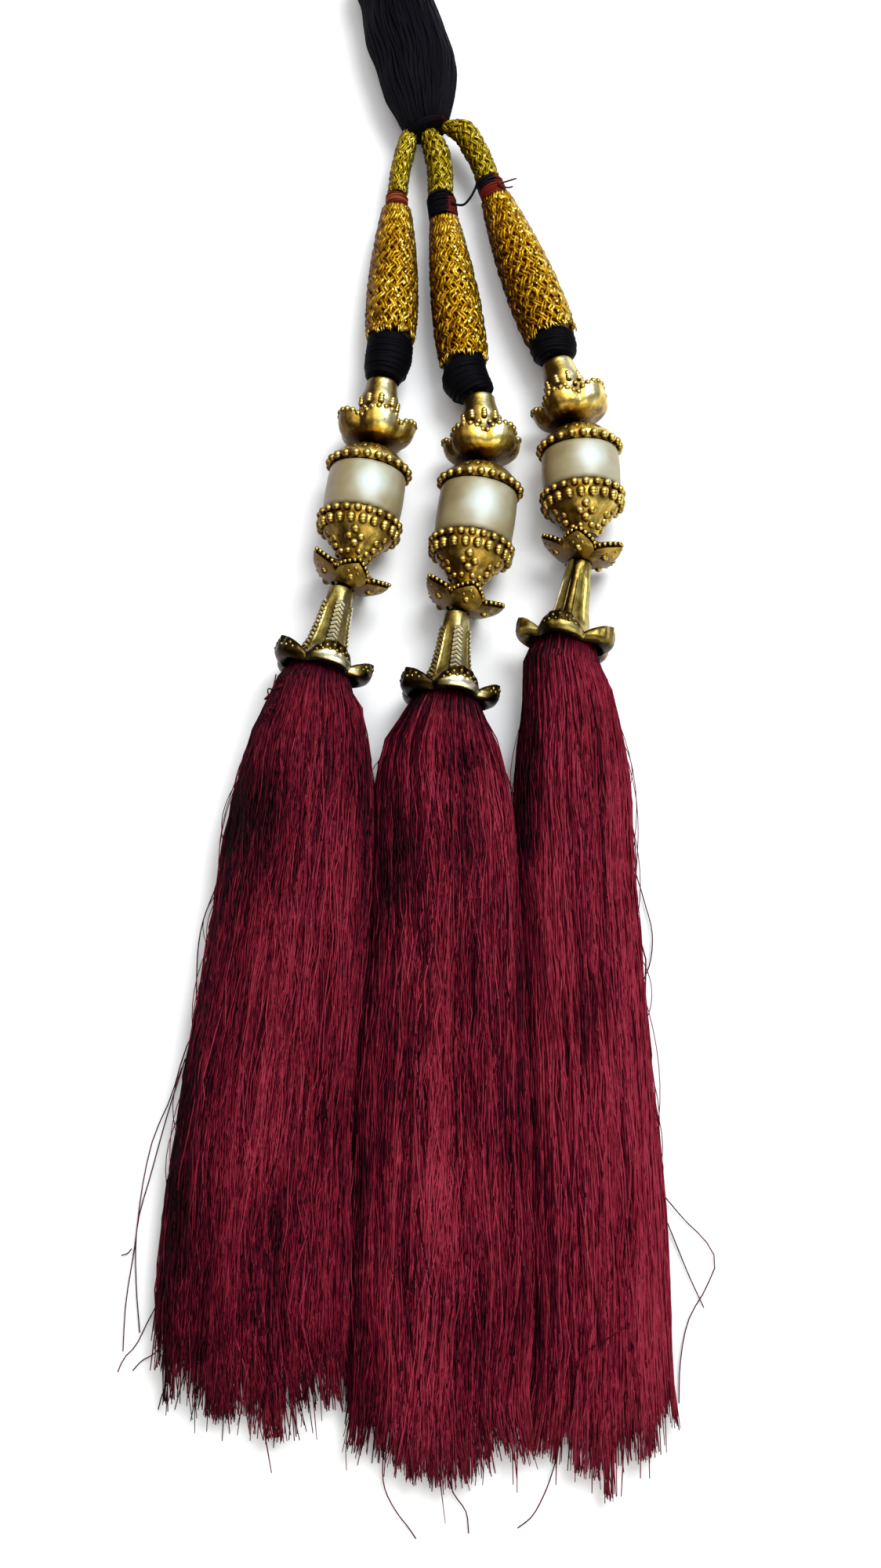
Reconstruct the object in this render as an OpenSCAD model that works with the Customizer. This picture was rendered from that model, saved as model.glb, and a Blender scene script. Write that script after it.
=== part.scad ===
// Paranda, a braid ornament. One bundle of black yarn carries three strands.
// Each strand is a thin metallic cord, a wound bulb, a black wrap, a string of
// cast pieces round a pearl drum, and a silk tassel.
// It lies flat: +Z is up, the bundle is toward +Y, the tassels toward -Y.
// A heading is an angle across the surface, 0 toward -Y, positive toward +X.

/* [Cords and bulbs] */
// Radius of the thin metallic cord
cord_r = 2.5; // [2:0.05:2.6]
// Radius of the thread binding round the cord's lower end
binding_r = 2.6; // [2.4:0.05:2.8]
// Radius of a bulb where it is widest
bulb_r = 5; // [4.4:0.1:5.2]
// Radius of a bulb at its upper end
bulb_neck_r = 2.8; // [2.4:0.1:3.2]
// Radius of the black wrap where it is widest
wrap_r = 4.35; // [3.6:0.05:4.6]

/* [Cast pieces] */
// Radius of the collar tube at its upper end
collar_r = 2.75; // [2.4:0.05:3]
// Reach of the upper flower's petals from the axis
upper_petal_r = 7.3; // [6.6:0.1:7.6]
// Reach of the lower flower's petals from the axis
lower_petal_r = 7.9; // [7.4:0.1:8.2]
// Radius to the middle of the beads on a cap's rim
cap_rim_r = 7.2; // [6.8:0.1:7.4]
// Radius of one bead on a cap's rim
rim_bead_r = 0.85; // [0.7:0.05:1]
// Number of beads round a cap's rim
rim_beads = 20; // [18:1:24]
// Reach of the trumpet's recurved petals from the axis
foot_r = 9; // [8.6:0.1:9.2]
// Number of petals on each flower and on the trumpet's foot
petals = 5; // [4:1:6]
// Height of the raised zigzags on the trumpet
relief = 0.35; // [0.2:0.05:0.5]

/* [Pearl] */
// Radius of the pearl drum where it is widest
pearl_r = 7.1; // [6.4:0.1:7.3]
// Height of the pearl drum
pearl_h = 8.5; // [8:0.1:9]

/* [Threading] */
// Radius of the hidden thread that the cast pieces are strung on
core_r = 0.95; // [0.7:0.05:1.1]
// Radius of the bore through each strung piece
bore_r = 1.3; // [1.2:0.05:1.5]
// Clearance between one piece and the next
gap = 0.3; // [0.2:0.05:0.4]

/* [Tassels] */
// Number of locks across the top of a tassel
locks = 14; // [9:1:16]
// Depth of the furrows between the locks
furrow = 1; // [0.4:0.1:1.4]
// How far a lock swings to the side along its length
sway = 0.4; // [0:0.1:0.6]
// How far the lock tips differ in length, from the longest to the shortest
raggedness = 3.4; // [0:0.2:5]
// How far a furrow ends short of the tips beside it
notch = 5; // [3.5:0.5:6]

/* [Hidden] */

LEFT = 0;
MIDDLE = 1;
RIGHT = 2;
$fn = 64;

// Lengths along a strand's cast pieces
COLLAR_LEN = 12;       // collar tube, down to the floor of the upper flower
CUP_LEN = 13.1;        // collar top to the underside of the upper flower
UPPER_CAP_H = 4.8;     // upper cap
LOWER_CAP_H = 8.4;     // lower cap
FLOWER_LEN = 4.2;      // lower flower, from its neck's end to its underside
TRUMPET_H = 16.4;      // trumpet, from its top to the fold of its petals
CUP_TILT = 1.2;        // the axis rises toward the tassel by this angle
GROUP_TILT = 0.3;
SEAT_R = 2.2;          // largest radius at which two strung pieces face each other

// Cast pieces of each strand: collar top, headings of the collar, the pearl
// group, the lower flower and the trumpet, tilt of the trumpet, turn of its
// petals, and how much taller its pearl is than the named height
STRINGS = [
    [[-6.4, 49.8, 7.85], -7, -8.5, -22, -13, 2.5, 18, 0],
    [[11.4, 46.8, 7.85], 3, -8, -18, -6.5, 2.5, 15, 1.1],
    [[25.7, 53.9, 7.85], 16, 2, -12, -11, 2, -12, -1.1]
];
TOP = 0;
COLLAR_HEADING = 1;
GROUP_HEADING = 2;
FLOWER_HEADING = 3;
TRUMPET_HEADING = 4;
TRUMPET_TILT = 5;
PETAL_TURN = 6;
TALLER_PEARL = 7;

// Wound parts of each strand: the bulb's upper end, length, heading and tilt,
// its radius as a share, the binding's length and radius as a share, and how
// far the wrap below bows to the side
BULBS = [
    [[-4.1, 86.7, 5.9], 27, -1.9, 1, 1.02, 3, 0.83, 0.3],
    [[5, 84.5, 5.9], 30, 7, 1, 1, 4.9, 1.08, -1.1],
    [[14.9, 89.1, 5.9], 30.6, 19, 1, 1.07, 4, 1, 0]
];
BULB_TOP = 0;
BULB_LEN = 1;
BULB_HEADING = 2;
BULB_TILT = 3;
BULB_SHARE = 4;
BINDING_LEN = 5;
BINDING_SHARE = 6;
WRAP_BOW = 7;

// Yarn bundle: x, y and z of each section's middle, half width, half height, heading
BUNDLE_ROWS = [
    [-7.6, 143.3, 7, 3.4, 3.2, 12],
    [-7.4, 142.1, 7, 5.4, 5.2, 12],
    [-6.7, 139.5, 7, 6.6, 6.3, 14],
    [-4.6, 132.9, 7, 7, 6.9, 16],
    [-3, 125.8, 7, 7.8, 7, 18],
    [-1.6, 121.5, 7, 7.8, 7, 14],
    [-0.5, 118, 7, 7.8, 7, 8],
    [0.3, 112, 6.9, 7, 6.7, 6],
    [0.9, 108.7, 6.8, 5.8, 5.7, 8],
    [1.4, 104.5, 6.8, 4.3, 4.3, 9]
];

// Thin cords: x, y and z of each section's middle, radius as a share, heading
CORD_ROWS = [
    [[-1.4, 103.7, 6.8, 0.48, 9], [-1.8, 102.3, 6.7, 0.68, -4],
        [-2.2, 100.4, 6.6, 0.78, -12], [-3.2, 96, 6.3, 0.8, -10]],
    [[1.45, 104.15, 6.8, 0.48, 9], [2.3, 102.3, 6.7, 0.82, 14],
        [3.3, 99.8, 6.5, 1.06, 12], [4.1, 96, 6.3, 1.06, 8]],
    [[4.3, 104.6, 6.8, 0.48, 9], [6.6, 104.3, 6.9, 0.8, 38], [8.4, 103.5, 6.9, 1, 42],
        [10.4, 100.5, 6.7, 1.06, 32], [12.4, 96.3, 6.4, 1, 24]]
];

// Tassels: y of a section, its left and right edge, its underside and its top
TASSEL_ROWS = [
    [[-12, -26.2, -9.6, 1.6, 14.6], [-18, -29, -8.2, 0.6, 13.8], [-28, -31.2, -7.4, 0, 12.8],
        [-42, -33.4, -7.6, 0, 11.8], [-62, -36, -8.8, 0, 11], [-82, -38.9, -10.3, 0, 10.2],
        [-105, -40.5, -10.8, 0, 9], [-122, -41.2, -10.8, 0, 7], [-126, -40.4, -11.4, 0, 5]],
    [[-16, -4, 13, 1.6, 14.6], [-22, -6.4, 15.2, 0.6, 13.8], [-32, -7, 16.8, 0, 12.8],
        [-46, -7.2, 17.6, 0, 11.8], [-65, -8.4, 18.4, 0, 11], [-85, -9.8, 18.9, 0, 10.2],
        [-108, -10.2, 19.1, 0, 9], [-131, -10, 17.8, 0, 7], [-136, -9.2, 17, 0, 5]],
    [[-7.5, 19, 33.7, 1.6, 14.2], [-15, 18.4, 35.6, 0.6, 13.6], [-26, 17.4, 37, 0, 12.6],
        [-40, 17.9, 37.4, 0, 11.8], [-60, 18.8, 38.6, 0, 11], [-80, 19.4, 39.9, 0, 10.2],
        [-103, 19.7, 40.9, 0, 9], [-126, 19.4, 41.2, 0, 7], [-133, 18.8, 40.6, 0, 5]]
];
ROW_Y = 0;
ROW_LEFT = 1;
ROW_RIGHT = 2;
ROW_UNDER = 3;
ROW_TOP = 4;

// Lock tips of each tassel: y at its left edge, middle and right edge
TIP_LINES = [
    [-130, -134, -132],
    [-140, -144.5, -140],
    [-139, -143.5, -138]
];
TIP_LEVEL = 1.3;       // height of the tips' middle above the surface

// Neck of a tassel inside the trumpet: radius and depth below the trumpet's top
NECK_ROWS = [[2, 12.2], [3.1, 13.6], [4.4, 14.8], [5.7, 15.8], [6.4, 16.6], [6.7, 18.3]];
CORE_END = 11.9;       // depth at which the hidden thread ends above that neck

// Outline of the bulb and the wrap: share of the length, share of the radius
WRAP_ROWS = [[0, 0.92], [0.14, 1], [0.48, 1.02], [0.76, 0.94], [0.92, 0.8], [1, 0.66]];
BULB_STEPS = 8;
BULB_CREST = 0.8;      // share of the bulb's length down to its widest place
BULB_END = 0.94;       // share of its largest radius left at its lower end

YARN = [0.05, 0.05, 0.07];
ZARI = [0.78, 0.6, 0.16];
CAST_GOLD = [0.72, 0.58, 0.25];
PEARL = [0.92, 0.9, 0.84];
BINDING_RED = [0.45, 0.1, 0.06];
SILK = [0.48, 0.07, 0.17];

// Unit step along a heading and a tilt
function way(heading, tilt) = [sin(heading) * cos(tilt), -cos(heading) * cos(tilt), sin(tilt)];
// Upward direction square to that step
function rise(heading, tilt) = [-sin(heading) * sin(tilt), cos(heading) * sin(tilt), cos(tilt)];
function across(heading) = [cos(heading), sin(heading), 0];

// Distance on the axis that keeps two strung pieces apart where the string bends
function seat(bend) = gap + SEAT_R * sin(abs(bend));
function step(from_heading, to_heading, tilt) =
    seat(from_heading - to_heading) * way((from_heading + to_heading) / 2, tilt);

// Joints of a string of cast pieces, worked down from the collar's top
function collar_top(s) = STRINGS[s][TOP];
function tall_pearl(s) = pearl_h + STRINGS[s][TALLER_PEARL];
function group_len(s) = UPPER_CAP_H + tall_pearl(s) + LOWER_CAP_H + 2 * gap;
function cup_end(s) = collar_top(s) + CUP_LEN * way(STRINGS[s][COLLAR_HEADING], CUP_TILT);
function group_top(s) = cup_end(s) + step(STRINGS[s][COLLAR_HEADING], STRINGS[s][GROUP_HEADING], CUP_TILT);
function group_end(s) = group_top(s) + group_len(s) * way(STRINGS[s][GROUP_HEADING], GROUP_TILT);
function flower_top(s) = group_end(s) + step(STRINGS[s][GROUP_HEADING], STRINGS[s][FLOWER_HEADING], GROUP_TILT);
function flower_end(s) = flower_top(s) + FLOWER_LEN * way(STRINGS[s][FLOWER_HEADING], 0);
function trumpet_top(s) = flower_end(s) + step(STRINGS[s][FLOWER_HEADING], STRINGS[s][TRUMPET_HEADING], 0);
function on_trumpet(s, depth) = trumpet_top(s)
    + depth * way(STRINGS[s][TRUMPET_HEADING], STRINGS[s][TRUMPET_TILT]);
function bulb_end(s) = BULBS[s][BULB_TOP]
    + BULBS[s][BULB_LEN] * way(BULBS[s][BULB_HEADING], BULBS[s][BULB_TILT]);

// Ring of points square to a heading, kept above the surface
function ring(middle, half_w, half_h, heading, tilt, sides) = [
    for (i = [0 : sides - 1])
        let (p = middle + across(heading) * half_w * cos(360 * i / sides)
            + rise(heading, tilt) * half_h * sin(360 * i / sides))
        [p[0], p[1], max(p[2], 0)]
];

// Solid through a row of rings with the same number of points
module sweep(rings) {
    n = len(rings[0]);
    last = len(rings) - 1;
    points = [for (r = rings) each r];
    walls = [
        for (k = [0 : last - 1], i = [0 : n - 1])
            let (a = k * n + i, b = k * n + (i + 1) % n)
            each [[a, b, b + n], [a, b + n, a + n]]
    ];
    first_cap = [for (i = [1 : n - 2]) [0, i + 1, i]];
    last_cap = [for (i = [1 : n - 2]) [last * n, last * n + i, last * n + i + 1]];
    polyhedron(points, concat(walls, first_cap, last_cap), convexity = 6);
}

// Stands a piece, drawn downward from its own origin, along a strand
module along(point, heading, tilt, turn = 0) {
    translate(point) rotate([-(90 + tilt), 0, heading]) rotate([0, 0, turn]) children();
}

// Solid of revolution from rows of radius and depth below the piece's top
module turned(rows) {
    rotate_extrude() polygon([for (row = rows) [row[0], -row[1]]]);
}

module bore(top, bottom) {
    translate([0, 0, -bottom - 1]) cylinder(h = bottom - top + 2, r = bore_r);
}

module bead_row(count, radius, depth, bead_r, sides = 24) {
    for (i = [0 : count - 1])
        rotate([0, 0, 360 * i / count]) translate([radius, 0, -depth]) sphere(bead_r, $fn = sides);
}

// Round petals seen along the axis: circles that reach out to a radius
module round_petals(reach, petal_r) {
    circle(petal_r);
    for (i = [0 : petals - 1]) rotate(-90 + 360 * i / petals) translate([reach - petal_r, 0]) circle(petal_r);
}

// Pointed petals seen along the axis: lenses that reach out to a radius
module pointed_petals(reach, half_w, arc_r) {
    inset = sqrt(arc_r * arc_r - (arc_r - half_w) * (arc_r - half_w));
    circle(reach * 0.55);
    for (i = [0 : petals - 1]) rotate(-90 + 360 * i / petals) intersection() {
        translate([reach - inset, arc_r - half_w]) circle(arc_r);
        translate([reach - inset, half_w - arc_r]) circle(arc_r);
    }
}

module head_bundle_shape() {
    color(YARN) sweep([for (row = BUNDLE_ROWS)
        ring([row[0], row[1], row[2]], row[3], row[4], row[5], 0, 20)]);
}

module cord_shape(s) {
    rows = CORD_ROWS[s];
    end_r = rows[len(rows) - 1][3] * cord_r;
    bottom = BULBS[s][BULB_TOP] - (BULBS[s][BINDING_LEN] + 2 * gap)
        * way(BULBS[s][BULB_HEADING], BULBS[s][BULB_TILT]);
    color(ZARI) sweep([
        for (row = rows) ring([row[0], row[1], row[2]], row[3] * cord_r, row[3] * cord_r, row[4], 0, 12),
        ring(bottom, end_r, end_r, BULBS[s][BULB_HEADING], BULBS[s][BULB_TILT], 12)
    ]);
}

module binding_shape(s, tint) {
    length = BULBS[s][BINDING_LEN];
    r = BULBS[s][BINDING_SHARE] * binding_r;
    color(tint) along(BULBS[s][BULB_TOP], BULBS[s][BULB_HEADING], BULBS[s][BULB_TILT])
        translate([0, 0, length + gap]) turned([
            [0, 0], [r - 0.35, 0], [r, 0.4], [r, length - 0.4], [r - 0.35, length], [0, length]
        ]);
}

// Radius of a bulb, as a share of its widest, at a share of its length
function bulb_share(t) = t < BULB_CREST
    ? bulb_neck_r / bulb_r + (1 - bulb_neck_r / bulb_r) * sin(90 * t / BULB_CREST)
    : 1 - (1 - BULB_END) * pow((t - BULB_CREST) / (1 - BULB_CREST), 2);

module bulb_shape(s) {
    length = BULBS[s][BULB_LEN];
    r = BULBS[s][BULB_SHARE] * bulb_r;
    color(ZARI) along(BULBS[s][BULB_TOP], BULBS[s][BULB_HEADING], BULBS[s][BULB_TILT]) turned([
        [0, 0],
        for (i = [0 : BULB_STEPS]) [r * bulb_share(i / BULB_STEPS), length * i / BULB_STEPS],
        [0, length]
    ]);
}

module wrap_shape(s) {
    from_heading = BULBS[s][BULB_HEADING];
    to_heading = STRINGS[s][COLLAR_HEADING];
    start = bulb_end(s) + gap * way(from_heading, BULBS[s][BULB_TILT]);
    finish = collar_top(s) - gap * way(to_heading, CUP_TILT);
    straight = atan2(finish[0] - start[0], start[1] - finish[1]);
    color(YARN) sweep([
        for (row = WRAP_ROWS)
            let (t = row[0], r = row[1] * wrap_r, between = from_heading + (to_heading - from_heading) * t)
            ring(start + (finish - start) * t + across(straight) * BULBS[s][WRAP_BOW] * sin(180 * t), r, r,
                between + (straight - between) * sin(180 * t), CUP_TILT, 16)
    ]);
}

module on_cup(s) {
    along(collar_top(s), STRINGS[s][COLLAR_HEADING], CUP_TILT) children();
}

module on_group(s) {
    along(group_top(s), STRINGS[s][GROUP_HEADING], GROUP_TILT) children();
}

module collar_shape(s) {
    color(CAST_GOLD) on_cup(s) difference() {
        union() {
            turned([[0, 0], [collar_r, 0], [collar_r + 0.35, 2.2], [collar_r + 0.95, 4.6],
                [collar_r + 0.6, 6], [2.4, 7.4], [SEAT_R, COLLAR_LEN], [0, COLLAR_LEN]]);
            bead_row(9, collar_r + 0.6, 5.2, 0.85);
        }
        bore(0, COLLAR_LEN);
    }
}

module upper_flower_shape(s) {
    color(CAST_GOLD) on_cup(s) difference() {
        intersection() {
            turned([[0, CUP_LEN], [SEAT_R, CUP_LEN], [3.8, CUP_LEN - 0.4], [5.5, 12], [6.6, 11],
                [7.1, 9.9], [upper_petal_r, 8.4], [upper_petal_r - 0.75, 8.1], [6.3, 9.7], [5.6, 10.7],
                [4.5, 11.5], [3, COLLAR_LEN], [2.5, COLLAR_LEN + gap], [0, COLLAR_LEN + gap]]);
            translate([0, 0, -CUP_LEN - 1]) linear_extrude(8) round_petals(upper_petal_r, 3.3);
        }
        bore(COLLAR_LEN, CUP_LEN);
    }
}

module upper_cap_shape(s) {
    color(CAST_GOLD) on_group(s) difference() {
        union() {
            turned([[0, 0], [SEAT_R, 0], [3.9, 0.6], [4.8, 1.3], [6.1, 2.3], [cap_rim_r - 0.1, 3.3],
                [cap_rim_r + 0.1, 4.1], [cap_rim_r - 0.2, UPPER_CAP_H], [0, UPPER_CAP_H]]);
            bead_row(rim_beads, cap_rim_r, 4, rim_bead_r);
        }
        bore(0, UPPER_CAP_H);
    }
}

module pearl_shape(s) {
    top = UPPER_CAP_H + gap;
    bottom = top + tall_pearl(s);
    color(PEARL) on_group(s) difference() {
        turned([[0, top], [pearl_r - 0.75, top], [pearl_r - 0.3, top + 0.45], [pearl_r - 0.1, top + 1.5],
            [pearl_r, top + 3.4], [pearl_r, bottom - 3.4], [pearl_r - 0.1, bottom - 1.5],
            [pearl_r - 0.3, bottom - 0.45], [pearl_r - 0.75, bottom], [0, bottom]]);
        bore(top, bottom);
    }
}

module lower_cap_shape(s) {
    top = UPPER_CAP_H + tall_pearl(s) + 2 * gap;
    bottom = top + LOWER_CAP_H;
    color(CAST_GOLD) on_group(s) difference() {
        union() {
            turned([[0, top], [cap_rim_r - 0.2, top], [cap_rim_r + 0.1, top + 0.7],
                [cap_rim_r - 0.5, top + 1.6], [cap_rim_r - 0.5, top + 2.6], [6.2, top + 3.9],
                [4.9, top + 5.4], [3.5, top + 6.6], [2.8, top + 7.6], [SEAT_R, bottom], [0, bottom]]);
            bead_row(rim_beads, cap_rim_r, top + 0.9, rim_bead_r);
            bead_row(rim_beads - 2, cap_rim_r - 0.5, top + 3, rim_bead_r - 0.1);
        }
        bore(top, bottom);
    }
}

module lower_flower_shape(s) {
    color(CAST_GOLD) along(flower_top(s), STRINGS[s][FLOWER_HEADING], 0, STRINGS[s][PETAL_TURN]) difference() {
        union() {
            intersection() {
                turned([[0, 0], [SEAT_R, 0], [SEAT_R, 1.7], [2.8, 2.7], [4.4, 2.3], [6.2, 1.4],
                    [lower_petal_r - 0.6, 0.7], [lower_petal_r, 1], [6.9, 2.2], [5.2, 3.3],
                    [3.6, 3.8], [SEAT_R, FLOWER_LEN], [0, FLOWER_LEN]]);
                translate([0, 0, -FLOWER_LEN - 1]) linear_extrude(8) pointed_petals(lower_petal_r, 3.1, 6);
            }
            bead_row(9, SEAT_R + 0.2, 1.1, 0.6);
        }
        bore(0, FLOWER_LEN);
    }
}

// Wall of the trumpet's body: radius and depth, from its top down to the petals
BODY_ROWS = [[SEAT_R, 0], [2.4, 3.2], [2.75, 7], [3.3, 10.6], [4.3, 13.3]];
PANEL_ROWS = 7;        // zigzags on one panel
PANEL_TOP = 4.2;       // depth of the first one
PANEL_PITCH = 1.25;    // from one zigzag to the next

// Zigzags of one panel, drawn flat: x across the panel, y along the axis
module zigzags() {
    for (k = [0 : PANEL_ROWS - 1]) {
        reach = 0.8 + 0.08 * k;
        y = -PANEL_TOP - k * PANEL_PITCH;
        polygon([[-reach, y], [0, y + 0.5], [reach, y], [reach, y - 0.45], [0, y + 0.05], [-reach, y - 0.45]]);
    }
}

module trumpet_relief() {
    body_end = BODY_ROWS[len(BODY_ROWS) - 1];
    intersection() {
        turned([[0, 0], for (row = BODY_ROWS) [row[0] + relief, row[1]], [0, body_end[1]]]);
        for (i = [0 : petals - 1])
            rotate([0, 0, 360 * i / petals]) rotate([90, 0, 0]) translate([0, 0, 1.6])
                linear_extrude(4) zigzags();
    }
}

module trumpet_shape(s) {
    color(CAST_GOLD) along(trumpet_top(s), STRINGS[s][TRUMPET_HEADING], STRINGS[s][TRUMPET_TILT],
        STRINGS[s][PETAL_TURN]) difference() {
        union() {
            intersection() {
                turned([[0, 0], each BODY_ROWS,
                    [5.6, 14.4], [6.9, 14.7], [7.6, 14], [foot_r - 0.9, 12.5], [foot_r - 0.45, 12.1],
                    [foot_r, 13.2], [foot_r, 15], [foot_r - 0.5, 15.9], [7.5, TRUMPET_H],
                    [7, 16.2], [6.2, 15.6], [4.9, 14.6], [3.6, 13.2], [2.6, 11.7], [0, 11.3]]);
                translate([0, 0, -TRUMPET_H - 1]) linear_extrude(TRUMPET_H + 2) round_petals(foot_r, 4.2);
            }
            trumpet_relief();
        }
        bore(0, 11.8);
    }
}

module core_shape(s) {
    collar_heading = STRINGS[s][COLLAR_HEADING];
    group_heading = STRINGS[s][GROUP_HEADING];
    flower_heading = STRINGS[s][FLOWER_HEADING];
    trumpet_heading = STRINGS[s][TRUMPET_HEADING];
    stations = [
        [collar_top(s), collar_heading],
        [(cup_end(s) + group_top(s)) / 2, (collar_heading + group_heading) / 2],
        [(group_end(s) + flower_top(s)) / 2, (group_heading + flower_heading) / 2],
        [(flower_end(s) + trumpet_top(s)) / 2, (flower_heading + trumpet_heading) / 2],
        [on_trumpet(s, CORE_END), trumpet_heading]
    ];
    color(YARN) sweep([for (st = stations) ring(st[0], core_r, core_r, st[1], 0, 8)]);
}

// Small repeatable difference between one lock and the next, from -1 to 1
function variation(s, k) = sin(137 * k + 71 * s + 29 * k * k);

function tip_y(s, share) = let (line = TIP_LINES[s])
    share < 0 ? line[1] + (line[1] - line[0]) * share : line[1] + (line[2] - line[1]) * share;

// Points across a tassel run from its left to its right edge. Odd ones are the
// crests of the locks and even ones the furrows between them.
function crest(i) = i % 2 == 1;
function share_at(i) = -cos(90 * i / locks);
function bulge_at(i) = sin(90 * i / locks);

// Closed ring of points: the upper face from left to right, then the underside back
function lock_ring(upper, lower) = concat(upper, [for (i = [2 * locks - 1 : -1 : 1]) lower[i]]);

// Ring round the neck inside the trumpet, where the locks aren't parted yet
function neck_ring(s, r, depth) = let (
        heading = STRINGS[s][TRUMPET_HEADING],
        tilt = STRINGS[s][TRUMPET_TILT],
        middle = on_trumpet(s, depth)
    ) lock_ring(
        [for (i = [0 : 2 * locks]) middle + r * (across(heading) * share_at(i) + rise(heading, tilt) * bulge_at(i))],
        [for (i = [0 : 2 * locks]) middle + r * (across(heading) * share_at(i) - rise(heading, tilt) * bulge_at(i))]
    );

// Ring across the lying part: locks parted by furrows, flat where it rests
function lying_ring(s, k) = let (
        row = TASSEL_ROWS[s][k],
        middle = (row[ROW_LEFT] + row[ROW_RIGHT]) / 2,
        half_w = (row[ROW_RIGHT] - row[ROW_LEFT]) / 2,
        level = (row[ROW_TOP] + row[ROW_UNDER]) / 2,
        half_h = (row[ROW_TOP] - row[ROW_UNDER]) / 2,
        depth = furrow * min(1, (k + 1) / 3),
        flatness = max(0.35, 0.8 - 0.15 * k),
        xs = [for (i = [0 : 2 * locks])
            middle + half_w * share_at(i) + sway * bulge_at(i) * variation(s, k + floor(i / 2))]
    ) lock_ring(
        [for (i = [0 : 2 * locks])
            [xs[i], row[ROW_Y], level + half_h * bulge_at(i) - (crest(i) ? 0 : depth * bulge_at(i))]],
        [for (i = [0 : 2 * locks])
            [xs[i], row[ROW_Y], max(row[ROW_UNDER], level - 1.12 * half_h * pow(bulge_at(i), flatness))]]
    );

// Last ring: each crest runs out to a tip, and each furrow ends short of it
function tip_ring(s) = let (
        row = TASSEL_ROWS[s][len(TASSEL_ROWS[s]) - 1],
        middle = (row[ROW_LEFT] + row[ROW_RIGHT]) / 2,
        half_w = (row[ROW_RIGHT] - row[ROW_LEFT]) / 2,
        ends = [for (i = [0 : 2 * locks]) [
            middle + half_w * share_at(i) + sway * bulge_at(i) * variation(s, floor(i / 2)),
            tip_y(s, share_at(i)) + (crest(i)
                ? raggedness * (0.5 + 0.5 * variation(s, i))
                : notch * (0.8 + 0.2 * variation(s, i)))
        ]]
    ) lock_ring(
        [for (i = [0 : 2 * locks]) [ends[i][0], ends[i][1], TIP_LEVEL + TIP_LEVEL * bulge_at(i)]],
        [for (i = [0 : 2 * locks]) [ends[i][0], ends[i][1], TIP_LEVEL - 0.9 * TIP_LEVEL * bulge_at(i)]]
    );

// Solid through lock rings, closed at both ends by strips from the upper face to the underside
module lock_sweep(rings) {
    n = 4 * locks;
    last = len(rings) - 1;
    points = [for (r = rings) each r];
    walls = [
        for (k = [0 : last - 1], i = [0 : n - 1])
            let (a = k * n + i, b = k * n + (i + 1) % n)
            each [[a, b + n, b], [a, a + n, b + n]]
    ];
    // Strip triangles between upper point i and the point under it
    strip = [
        [0, 1, n - 1],
        for (i = [1 : 2 * locks - 2]) each [[i, i + 1, n - i - 1], [i, n - i - 1, n - i]],
        [2 * locks - 1, 2 * locks, 2 * locks + 1]
    ];
    first_cap = strip;
    last_cap = [for (f = strip) [f[2] + last * n, f[1] + last * n, f[0] + last * n]];
    polyhedron(points, concat(walls, first_cap, last_cap), convexity = 8);
}

module tassel_shape(s) {
    color(SILK) lock_sweep([
        for (row = NECK_ROWS) neck_ring(s, row[0], row[1]),
        for (k = [0 : len(TASSEL_ROWS[s]) - 1]) lying_ring(s, k),
        tip_ring(s)
    ]);
}

module head_bundle() { head_bundle_shape(); }
module left_cord() { cord_shape(LEFT); }
module left_binding() { binding_shape(LEFT, BINDING_RED); }
module left_bulb() { bulb_shape(LEFT); }
module left_wrap() { wrap_shape(LEFT); }
module left_collar() { collar_shape(LEFT); }
module left_upper_flower() { upper_flower_shape(LEFT); }
module left_upper_cap() { upper_cap_shape(LEFT); }
module left_pearl() { pearl_shape(LEFT); }
module left_lower_cap() { lower_cap_shape(LEFT); }
module left_lower_flower() { lower_flower_shape(LEFT); }
module left_trumpet() { trumpet_shape(LEFT); }
module left_core() { core_shape(LEFT); }
module left_tassel() { tassel_shape(LEFT); }
module middle_cord() { cord_shape(MIDDLE); }
module middle_binding() { binding_shape(MIDDLE, YARN); }
module middle_bulb() { bulb_shape(MIDDLE); }
module middle_wrap() { wrap_shape(MIDDLE); }
module middle_collar() { collar_shape(MIDDLE); }
module middle_upper_flower() { upper_flower_shape(MIDDLE); }
module middle_upper_cap() { upper_cap_shape(MIDDLE); }
module middle_pearl() { pearl_shape(MIDDLE); }
module middle_lower_cap() { lower_cap_shape(MIDDLE); }
module middle_lower_flower() { lower_flower_shape(MIDDLE); }
module middle_trumpet() { trumpet_shape(MIDDLE); }
module middle_core() { core_shape(MIDDLE); }
module middle_tassel() { tassel_shape(MIDDLE); }
module right_cord() { cord_shape(RIGHT); }
module right_binding() { binding_shape(RIGHT, BINDING_RED); }
module right_bulb() { bulb_shape(RIGHT); }
module right_wrap() { wrap_shape(RIGHT); }
module right_collar() { collar_shape(RIGHT); }
module right_upper_flower() { upper_flower_shape(RIGHT); }
module right_upper_cap() { upper_cap_shape(RIGHT); }
module right_pearl() { pearl_shape(RIGHT); }
module right_lower_cap() { lower_cap_shape(RIGHT); }
module right_lower_flower() { lower_flower_shape(RIGHT); }
module right_trumpet() { trumpet_shape(RIGHT); }
module right_core() { core_shape(RIGHT); }
module right_tassel() { tassel_shape(RIGHT); }

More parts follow.
